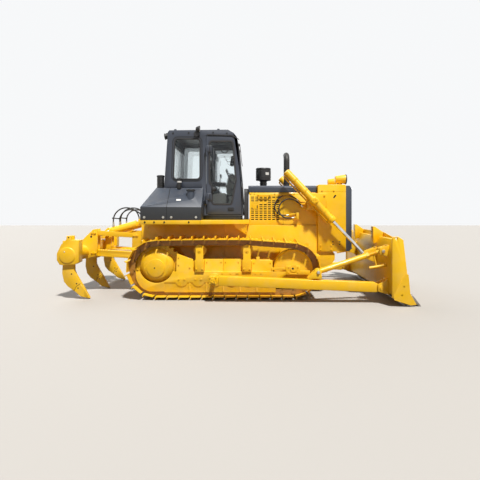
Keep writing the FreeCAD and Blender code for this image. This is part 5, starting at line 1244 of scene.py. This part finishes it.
mat = [(rounded(rect(-0.060, -0.300, 0.010, 0.300), 0.01), 1.5195, 1.524, "XY")]
mat += [(rect(x, y0, x + 0.010, y1), 1.5195, 1.5235, "XY") for x in [-0.520 + 0.018 * n for n in range(28)]
        for y0, y1 in ((-0.290, -0.225), (0.225, 0.290))]
prisms("floor_mat", mat, COWL_RUBBER)

# Exhaust: black bent tube, open at its end, on a flange with a band clamp. The air pre-cleaner
# stands behind it, a black moulded bowl on a stem with a bare white label.
EXHAUST_X = 1.040
EXHAUST_SPOT = (EXHAUST_X, 0, 0)
PIPE_RADIUS = 0.060
PIPE_WALL = 0.003
BEND_RADIUS = 0.150
BEND_START = 2.552
BEND_TURN = math.radians(66)
FLANGE = [(0.061, 2.0424), (0.092, 2.0424), (0.092, 2.050), (0.064, 2.053), (0.064, 2.066), (0.0605, 2.068)]
CLAMP_BAND = [(0.0602, 2.120), (0.0640, 2.121), (0.0640, 2.141), (0.0602, 2.142)]


def exhaust_path():
    """Straight up, then over to the left on an even bend."""
    path = [(0.0, 2.0425), (0.0, 2.300), (0.0, BEND_START)]
    for angle in [BEND_TURN * step / 12 for step in range(1, 13)]:
        path.append((BEND_RADIUS * (1 - math.cos(angle)), BEND_START + BEND_RADIUS * math.sin(angle)))
    y, z = path[-1]
    path.append((y + 0.030 * math.sin(BEND_TURN), z + 0.030 * math.cos(BEND_TURN)))
    return path


def tube_rings(path, radius, way, steps=28):
    """Rings round a path in Y and Z, turned one way for the outside and the other for the inside."""
    rings = []
    for number, (y, z) in enumerate(path):
        before, after = Vector(path[max(0, number - 1)]), Vector(path[min(len(path) - 1, number + 1)])
        along = (after - before).normalized() * way
        rings.append([(EXHAUST_X + radius * math.cos(a), y - along.y * radius * math.sin(a),
                       z + along.x * radius * math.sin(a)) for a in [2 * math.pi * n / steps for n in range(steps)]])
    return rings


EXHAUST_BLACK = enamel("exhaust_black", (0.014, 0.013, 0.013), rough=0.55, dust=0.15, coat=0.0)
work = bmesh.new()
add_rings(work, tube_rings(exhaust_path(), PIPE_RADIUS, 1) + tube_rings(exhaust_path()[::-1], PIPE_RADIUS - PIPE_WALL,
                                                                        -1), closed=True)
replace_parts(finished("exhaust_tube", work, EXHAUST_BLACK), "exhaust_pipe")
turned("exhaust_flange", [(FLANGE, EXHAUST_SPOT, "Z", 32), (CLAMP_BAND, EXHAUST_SPOT, "Z", 32),
                          ([(0.006, -0.030), (0.006, 0.030)], (EXHAUST_X + 0.068, 0, 2.131), "Y", 8)], EXHAUST_BLACK)
bolts("exhaust_bolts", 0.016, [(EXHAUST_X + 0.078 * math.cos(a), 0.078 * math.sin(a), 2.050)
                               for a in (0.4, 1.97, 3.54, 5.11)], ZINC, normal=(0, 0, 1), mirror=False)
CLEANER_X = 0.570
CLEANER_BOWL = [(0.068, 2.0424), (0.068, 2.100), (0.074, 2.102), (0.074, 2.122), (0.068, 2.124), (0.068, 2.150),
                (0.090, 2.168), (0.140, 2.172), (0.152, 2.182), (0.152, 2.205), (0.146, 2.209), (0.146, 2.216),
                (0.152, 2.220), (0.152, 2.372), (0.146, 2.376), (0.146, 2.384), (0.152, 2.388), (0.152, 2.412),
                (0.144, 2.424), (0.060, 2.430), (0.0, 2.430)]
bowl_parts = [(CLEANER_BOWL, (CLEANER_X, 0, 0), "Z", 44)]
bowl_parts += [([(0.0035, 2.222), (0.0035, 2.250)], (CLEANER_X + 0.1495 * math.cos(a), 0.1495 * math.sin(a), 0), "Z", 6)
               for a in [2 * math.pi * n / 24 for n in range(24)]]
BOWL_BLACK = enamel("bowl_black", (0.016, 0.016, 0.018), rough=0.42, dust=0.15, coat=0.1)
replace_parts(turned("pre_cleaner_bowl", bowl_parts, BOWL_BLACK), "pre_cleaner")
work = bmesh.new()
add_rings(work, [[(CLEANER_X + size * math.cos(a), size * math.sin(a), z)
                  for size, z in ((0.1535, 2.280), (0.1535, 2.330), (0.1515, 2.330), (0.1515, 2.280))]
                 for a in (-1.30, -1.20, -1.10, -1.00, -0.90, -0.80)])
finished("pre_cleaner_label", work, WHITE_LABEL)
prisms("tank_label", [([(-1.082, 1.739), (-1.054, 1.768), (-1.0554, 1.7694), (-1.0834, 1.7404)], -1.000, -0.920,
                       "YZ")], WHITE_LABEL)

# Head lamps: golden spun buckets on the guard's front corners, with a black bezel and a
# fluted lens.
HEAD_LAMPS_Y = (-0.400, 0.400)
BEZEL_RADIUS = 0.092
BEZEL_X = 2.154
dress("head_lamps", GOLD_ENAMEL)
head_places = [((0.0, y, 2.170), facing((1, 0, 0))) for y in HEAD_LAMPS_Y]
bezel = turned_unit([(BEZEL_RADIUS * across, BEZEL_X + step) for across, step in
                     ((0.80, 0), (0.98, 0.002), (1.04, -0.004), (1.04, -0.016), (1.005, -0.020), (0.80, -0.020))], 28)
set_pieces("head_lamp_bezels", bezel, head_places, BLACK_ENAMEL)
set_pieces("head_lamp_lenses", lens_unit(BEZEL_RADIUS, 2.148), head_places, LAMP_GLASS)
discs("head_lamp_reflectors", 0.072, 0.001, [(2.1442, y, 2.170) for y in HEAD_LAMPS_Y], REFLECTOR, normal=(1, 0, 0),
      mirror=False)
bolts("head_lamp_bolts", 0.018, [(x, y, 2.085) for x in (1.990, 2.050) for y in (-0.430, 0.430)], normal=(0, 1, 0),
      mirror=False)

# Blade: a curved mouldboard polished by earth low on its front face, closed by end plates, with
# a bolted cutting edge. The push arms pin to the track frames, and screw braces set its pitch.
BLADE_SIDE = 1.694
ARM_MIDDLE = 1.375
ARM_OUTER = 1.450
EDGE_NORMAL = (0.75, 0, 0.66)
CORNER_PLATE = [(2.826, 0.541), (2.631, 0.190), (2.644, 0.111), (2.917, 0.026), (3.008, 0.037), (2.906, 0.215),
                (2.877, 0.526)]
CORNER_BACK = [(2.780, 0.070), (2.917, 0.028), (3.004, 0.040), (2.930, 0.150)]
scoured = Finish("scoured_enamel", {"Coat Roughness": 0.15})
spray = scoured.node("Group", {"Paint": GOLD, "Dust": 0.3}, node_tree=ENAMEL).outputs
normal = scoured.node("NewGeometry", {}).outputs["Normal"]
front = scoured.ranged(scoured.axis(normal, "X"), 0.25, 0.6)
low = scoured.ranged(scoured.axis(scoured.where, "Z"), 0.10, 0.95, 1.0, 0.0)
streaks = scoured.maths("ADD", scoured.noise(5.0, 8, 0.7, (1.0, 0.35, 2.2)), scoured.maths("MULTIPLY", low, 0.35))
bare = scoured.maths("MULTIPLY", front, scoured.ranged(streaks, 0.60, 0.78))
steel = scoured.blend(scoured.ranged(scoured.noise(22.0, 5), 0.35, 0.65), (0.30, 0.27, 0.24), (0.42, 0.40, 0.38))
scoured.feed({"Base Color": scoured.blend(bare, spray["Color"], steel),
              "Metallic": scoured.maths("MULTIPLY", bare, 0.85),
              "Roughness": scoured.ranged(bare, 0.0, 1.0, 0.36, 0.48)})
scoured.relief(spray["Height"], 0.0015, 0.4)
EDGE_STEEL = metal("edge_steel", (0.34, 0.31, 0.28), 0.40, 30.0, (1.0, 0.25, 1.0), 0.2)
dress("mouldboard", scoured.material, 0.005)
dress("blade_end_plates", GOLD_ENAMEL, 0.006)
dress("blade_brackets", GOLD_ENAMEL, 0.004)
dress("push_arms", GOLD_ENAMEL, 0.006)
dress("braces", GOLD_ENAMEL)
dress("blade_edge", EDGE_STEEL)
discs("edge_bolt_heads", 0.019, 0.003, [(2.992 + 0.030 * row, -1.60 + 0.20 * n, 0.150 - 0.034 * row)
                                        for row in (0, 1) for n in range(17)], EDGE_STEEL, "blade", EDGE_NORMAL, False)
plates("corner_plates", [CORNER_PLATE], (-BLADE_SIDE - 0.006, -BLADE_SIDE + 0.0005), body="blade", edge=0.0015)
plates("corner_plate_backs", [CORNER_BACK], (-BLADE_SIDE - 0.001, -BLADE_SIDE + 0.020), body="blade", edge=0.0015)
discs("corner_plugs", 0.016, 0.002, at(-BLADE_SIDE - 0.004, [(2.772, 0.190), (2.805, 0.330)]), body="blade")

# Pins and screws of the arms: split caps on the trunnions, washers on each pin, and the tommy
# bar and the hanging rod at the brace's screw.
KEEPER = (-0.320, 0.389)
BRACE_LOW = Vector((1.455, 0.526))
BRACE_HIGH = Vector((2.545, 0.884))
ARM_PIN = (2.510, 0.268)
THREAD = [(0.0320, 0.0), (0.0345, 0.0014), (0.0320, 0.0028)]
LOCK_NUT = [(0.0480, 0.0), (0.0560, 0.004), (0.0560, 0.052), (0.0480, 0.056)]
discs("arm_keepers", 0.045, 0.006, at(-1.462, [KEEPER]))
bolts("arm_keeper_bolts", 0.014, ring_spots(KEEPER, 0.024, 3, -1.468))
bolts("arm_cap_bolts", 0.024, at(-ARM_OUTER, [(x, z) for x in (-0.367, -0.273) for z in (0.340, 0.438)]), body="blade")
seams("arm_cap_splits", ARM_OUTER, [rect(-0.322, 0.430, -0.318, 0.456), rect(-0.322, 0.322, -0.318, 0.348)], 0.001,
      body="blade")
for name, y, spot in (("brace_low", -1.450, BRACE_LOW), ("brace_high", -1.454, BRACE_HIGH)):
    discs(name + "_pins", 0.034, 0.008, at(y, [spot]), body="blade")
    bolts(name + "_nuts", 0.038, at(y - 0.008, [spot]), ZINC, "blade")
discs("arm_front_pins", 0.040, 0.008, at(-1.480, [ARM_PIN]), body="blade")
bolts("arm_front_bolts", 0.014, at(-1.488, [(ARM_PIN[0] + step, ARM_PIN[1]) for step in (-0.018, 0.018)]),
      body="blade")
bent_rod("brace_rods", [at(-ARM_MIDDLE, [(2.402, 0.811), (2.412, 0.772), (2.440, 0.660), (2.450, 0.621)])], 0.014,
         body="blade")
bent_rod("tommy_bars", [at(-ARM_MIDDLE, [(2.330, 0.592), (2.400, 0.603), (2.560, 0.628), (2.615, 0.637)])], 0.024,
         body="blade")
brace_along = (BRACE_HIGH - BRACE_LOW).normalized()
brace_normal = (brace_along.x, 0, brace_along.y)


def brace_spots(*backs):
    """Places on the brace's axis, each a distance back from its high pin."""
    return at(-ARM_MIDDLE, [BRACE_HIGH - brace_along * back for back in backs])


stand("brace_threads", turned_unit(THREAD), brace_spots(*[0.246 - 0.0042 * n for n in range(34)]), GOLD_ENAMEL,
      "blade", brace_normal, True)
stand("brace_lock_nuts", turned_unit(LOCK_NUT, 6), brace_spots(0.292), GOLD_ENAMEL, "blade", brace_normal, True)

# Lift cylinders: golden barrels that swing in yokes at their middle, with chromed rods. Hard
# pipes run from the collar to the head and gland ports, held by clips.
LIFT_TRUNNION = Vector((1.484, 1.743))
LIFT_ALONG = Vector((0.6876, -0.7261))
LIFT_OUT = Vector((-0.7261, -0.6876))
LIFT_MIDDLE = 0.735
LIFT_PIN = Vector((2.430, 0.744))
CHROME = metal("chrome", (0.78, 0.78, 0.78), 0.09, 40.0, None, 0.05)
# Places of the pipes along the cylinder from its trunnion, and out from its axis
PIPE_RUNS = (((-0.700, 0.060), (-0.700, 0.095), (-0.660, 0.097), (-0.120, 0.097), (-0.060, 0.092), (-0.045, 0.080)),
             ((0.045, 0.080), (0.060, 0.094), (0.120, 0.097), (0.430, 0.097), (0.470, 0.095), (0.475, 0.070)))


def lift_place(along, out, hand=-1):
    """A place beside a lift cylinder's axis."""
    spot = LIFT_TRUNNION + LIFT_ALONG * along + LIFT_OUT * out
    return (spot.x, hand * LIFT_MIDDLE, spot.y)


def paint_near(piece, centre, reach, material):
    """Gives a second material to the faces near a pin in X and Z."""
    piece.data.materials.append(material)
    for face in piece.data.polygons:
        if math.hypot(face.center.x - centre.x, face.center.z - centre.y) < reach:
            face.material_index = 1


dress("lift_yokes", GOLD_ENAMEL, 0.004)
dress("hose_brackets", GOLD_ENAMEL, 0.002)
dress("lift_barrels", GOLD_ENAMEL)
paint_near(dress("lift_rods", CHROME, 0.002), LIFT_PIN, 0.078, GOLD_ENAMEL)
bolts("yoke_bolts", 0.030, at(-0.630, [(1.420, 1.640), (1.420, 1.820), (1.700, 1.640), (1.700, 1.850)]))
discs("trunnion_caps", 0.050, 0.006, at(-0.835, [LIFT_TRUNNION]), body="lift_barrels")
bolts("trunnion_bolts", 0.014, ring_spots(LIFT_TRUNNION, 0.030, 4, -0.841, 0.785), body="lift_barrels")
bent_rod("lift_pipes", [[lift_place(along, out) for along, out in run] for run in PIPE_RUNS], 0.015,
         body="lift_barrels")
lift_turn = facing((LIFT_ALONG.x, 0, LIFT_ALONG.y))
work = bmesh.new()
band, outside = [[(r * math.cos(a), r * math.sin(a)) for a in [2 * math.pi * n / 32 for n in range(32)]]
                 for r in (0.0698, 0.0760)]
add_frame(work, band, outside, -0.014, 0.014, "XY")
wiper = turned_unit([(0.0315, 0.0), (0.0420, 0.001), (0.0420, 0.010), (0.0340, 0.016), (0.0315, 0.016)], 32)
head = turned_unit([(0.0, -0.758), (0.040, -0.757), (0.062, -0.748), (0.066, -0.738)], 32)
for name, unit, places_along, material in (("pipe_clips", new_mesh("clip", work), (-0.520, -0.250, 0.270), GOLD_ENAMEL),
                                           ("rod_wipers", wiper, (0.509,), HOSE_RUBBER),
                                           ("barrel_heads", head, (0.0,), GOLD_ENAMEL)):
    set_pieces(name, unit, [(lift_place(along, 0.0, hand), lift_turn) for along in places_along for hand in (-1, 1)],
               material, "lift_barrels")
discs("lift_pin_caps", 0.034, 0.006, at(-0.8045, [LIFT_PIN]), body="blade")
bolts("lift_pin_bolts", 0.022, at(-0.8105, [LIFT_PIN]), ZINC, "blade")

# Ripper: a parallelogram of box links that carries a tube with three pocket boxes. A shank
# with a forged tooth is pinned in each box.
SHANKS = (-1.040, 0.0, 1.040)
EAR_FACE = 0.488
RIPPER_PIN = Vector((-2.728, 1.069))
RIPPER_BODY = "ripper_carriage"
for node in ("ripper_lower_arm", "ripper_upper_links", "ripper_carriage"):
    dress(node, GOLD_ENAMEL, 0.005)
dress("ripper_shanks", GOLD_CAST, 0.005)
dress("ripper_barrels", GOLD_ENAMEL)
paint_near(dress("ripper_rods", CHROME, 0.002), RIPPER_PIN, 0.070, GOLD_ENAMEL)
for name, spots, body in (("front", ((-1.880, 0.710), (-1.885, 1.090)), "root"),
                          ("rear", ((-2.677, 0.760), (-2.682, 1.140)), RIPPER_BODY)):
    discs("link_pins_" + name, 0.038, 0.006, at(-EAR_FACE, spots), body=body)
    plates("link_keepers_" + name, [rect(x - 0.050, z - 0.015, x + 0.050, z + 0.015) for x, z in spots],
           (-EAR_FACE - 0.014, -EAR_FACE - 0.005), body=body)
    bolts("link_keeper_bolts_" + name, 0.018,
          at(-EAR_FACE - 0.014, [(x + step, z) for x, z in spots for step in (-0.036, 0.036)]), GOLD_CAST, body)
# A black disc is painted shade in the carriage's pin hole.
discs("carriage_holes", 0.020, 0.0015, at(-EAR_FACE, [RIPPER_PIN]), BLACK_AND_PAINTED_SHADE, RIPPER_BODY)

# Pocket boxes and shanks: the spare pin holes of each box, its retaining pin, the weld round
# the tube's end, and the marks of the shank's own holes.
BOX_HALF = 0.085
RETAINING_PIN = (-2.950, 0.840)
TUBE_WELD = [(0.134, 0.0), (0.148, 0.0), (0.142, 0.008), (0.135, 0.012)]
PIN_KNOB = [(0.0, 0.0), (0.018, 0.0), (0.018, 0.030), (0.012, 0.034), (0.012, 0.050), (0.020, 0.054), (0.020, 0.066),
            (0.0, 0.070)]


def shank_discs(name, hand, radius, height, reach, spots, material):
    """Discs on one side of every shank or its box, at places in X and Z."""
    places = [(x, middle + hand * reach, z) for middle in SHANKS for x, z in spots]
    discs(name, radius, height, places, material, RIPPER_BODY, (0, hand, 0), False)


# Black discs are painted shade in the boxes' spare pin holes and in the shanks' holes.
for side, hand in SIDES:
    shank_discs("lug_holes_" + side, hand, 0.013, 0.0015, BOX_HALF, [(-2.882, 1.092)], BLACK_AND_PAINTED_SHADE)
    shank_discs("retaining_pins_" + side, hand, 0.026, 0.014, BOX_HALF, [RETAINING_PIN], GOLD_CAST)
    shank_discs("retaining_pin_ends_" + side, hand, 0.012, 0.004, BOX_HALF + 0.014, [RETAINING_PIN], ZINC)
    shank_discs("shank_holes_" + side, hand, 0.012, 0.001, 0.0372, [(-2.850, 0.4445), (-2.762, 0.274)], BLACK_AND_PAINTED_SHADE)
set_pieces("tube_welds", turned_unit(TUBE_WELD, 40), [((-2.905, middle + hand * BOX_HALF, 0.776), facing((0, hand, 0)))
                                                      for middle in SHANKS for hand in (-1, 1)], GOLD_ENAMEL,
           RIPPER_BODY)
set_pieces("pin_knobs", turned_unit(PIN_KNOB, 18), [((-2.703, 0.0, 0.985), facing((1, 0, 0)))], ZINC, RIPPER_BODY)
TOOTH = [(-2.800, 0.150), (-2.765, 0.222), (-2.691, 0.274), (-2.646, 0.205), (-2.530, 0.020), (-2.545, 0.006),
         (-2.692, 0.052)]
TOOTH_SEAM = [(-2.803, 0.153), (-2.766, 0.226), (-2.690, 0.279), (-2.6895, 0.2725), (-2.7615, 0.2205), (-2.797, 0.149)]
TOOTH_HALF = 0.0445


def tooth_half(x):
    """Half the tooth's width, which tapers towards its tip."""
    return TOOTH_HALF - 0.022 * min(1.0, max(0.0, (x + 2.691) / 0.161))


work = bmesh.new()
for middle in SHANKS:
    add_rings(work, [[(x, middle + hand * tooth_half(x), z) for x, z in TOOTH] for hand in (-1, 1)])
finished("ripper_teeth", work, GOLD_CAST, RIPPER_BODY, 0.004)
prisms("tooth_seams", [(TOOTH_SEAM, middle - 0.0450, middle + 0.0450) for middle in SHANKS], BLACK_AND_PAINTED_SHADE, RIPPER_BODY)
# Black discs are painted shade at the tooth pins' holes.
for side, hand in SIDES:
    shank_discs("tooth_pins_" + side, hand, 0.012, 0.002, TOOTH_HALF, [(-2.732, 0.197)], BLACK_AND_PAINTED_SHADE)

# Ripper cylinders: a gland nut with its wiper round each rod, bolted eyes, and a moulded clamp
# that joins each pair of hoses.
RIPPER_TRUNNION = Vector((-1.810, 1.340))
CYLINDER_MIDDLE = 0.225
CYLINDER_FACE = 0.2950
ROD_HOSE_X, HEAD_HOSE_X = -2.383, -2.270
HOSES_Y = ((-0.247, -0.203), (0.203, 0.247))
GLAND = [(0.0355, 0.650), (0.070, 0.650), (0.070, 0.660), (0.046, 0.664), (0.044, 0.674), (0.0355, 0.675)]
cylinder_along = (RIPPER_PIN - RIPPER_TRUNNION).normalized()
stand("ripper_glands", turned_unit(GLAND, 32), at(-CYLINDER_MIDDLE, [RIPPER_TRUNNION]), GOLD_ENAMEL,
      "ripper_barrels", (cylinder_along.x, 0, cylinder_along.y), True)
discs("ripper_pin_caps", 0.030, 0.006, at(-CYLINDER_FACE, [RIPPER_PIN]), body=RIPPER_BODY)
discs("ripper_trunnion_caps", 0.034, 0.006, at(-CYLINDER_FACE, [RIPPER_TRUNNION]))
work = bmesh.new()
for y0, y1 in HOSES_Y:
    for x, y, z in ((-2.390, y0, 1.418), (-2.278, y1, 1.410)):
        add_turned(work, [(0.0128, z - 0.014), (0.0185, z - 0.012), (0.0185, z + 0.012), (0.0128, z + 0.014)],
                   (x, y, 0), "Z", 16)
    add_prism(work, [(-2.374, 1.408), (-2.294, 1.400), (-2.294, 1.420), (-2.374, 1.428)], (y0 + y1) / 2 - 0.026,
              (y0 + y1) / 2 + 0.026)
finished("hose_clamps", work, MOULDED_BLACK, "ripper_barrels", 0.002)
nuts = []
for x, y in ((ROD_HOSE_X, -0.247), (ROD_HOSE_X, 0.203), (HEAD_HOSE_X, -0.203), (HEAD_HOSE_X, 0.247)):
    nuts += [([(0.0245, 1.246), (0.0260, 1.249), (0.0260, 1.276), (0.0245, 1.279)], (x, y, 0), "Z", 6),
             ([(0.0200, 1.279), (0.0200, 1.304)], (x, y, 0), "Z", 16)]
turned("ripper_hose_nuts", nuts, ZINC, "ripper_barrels")
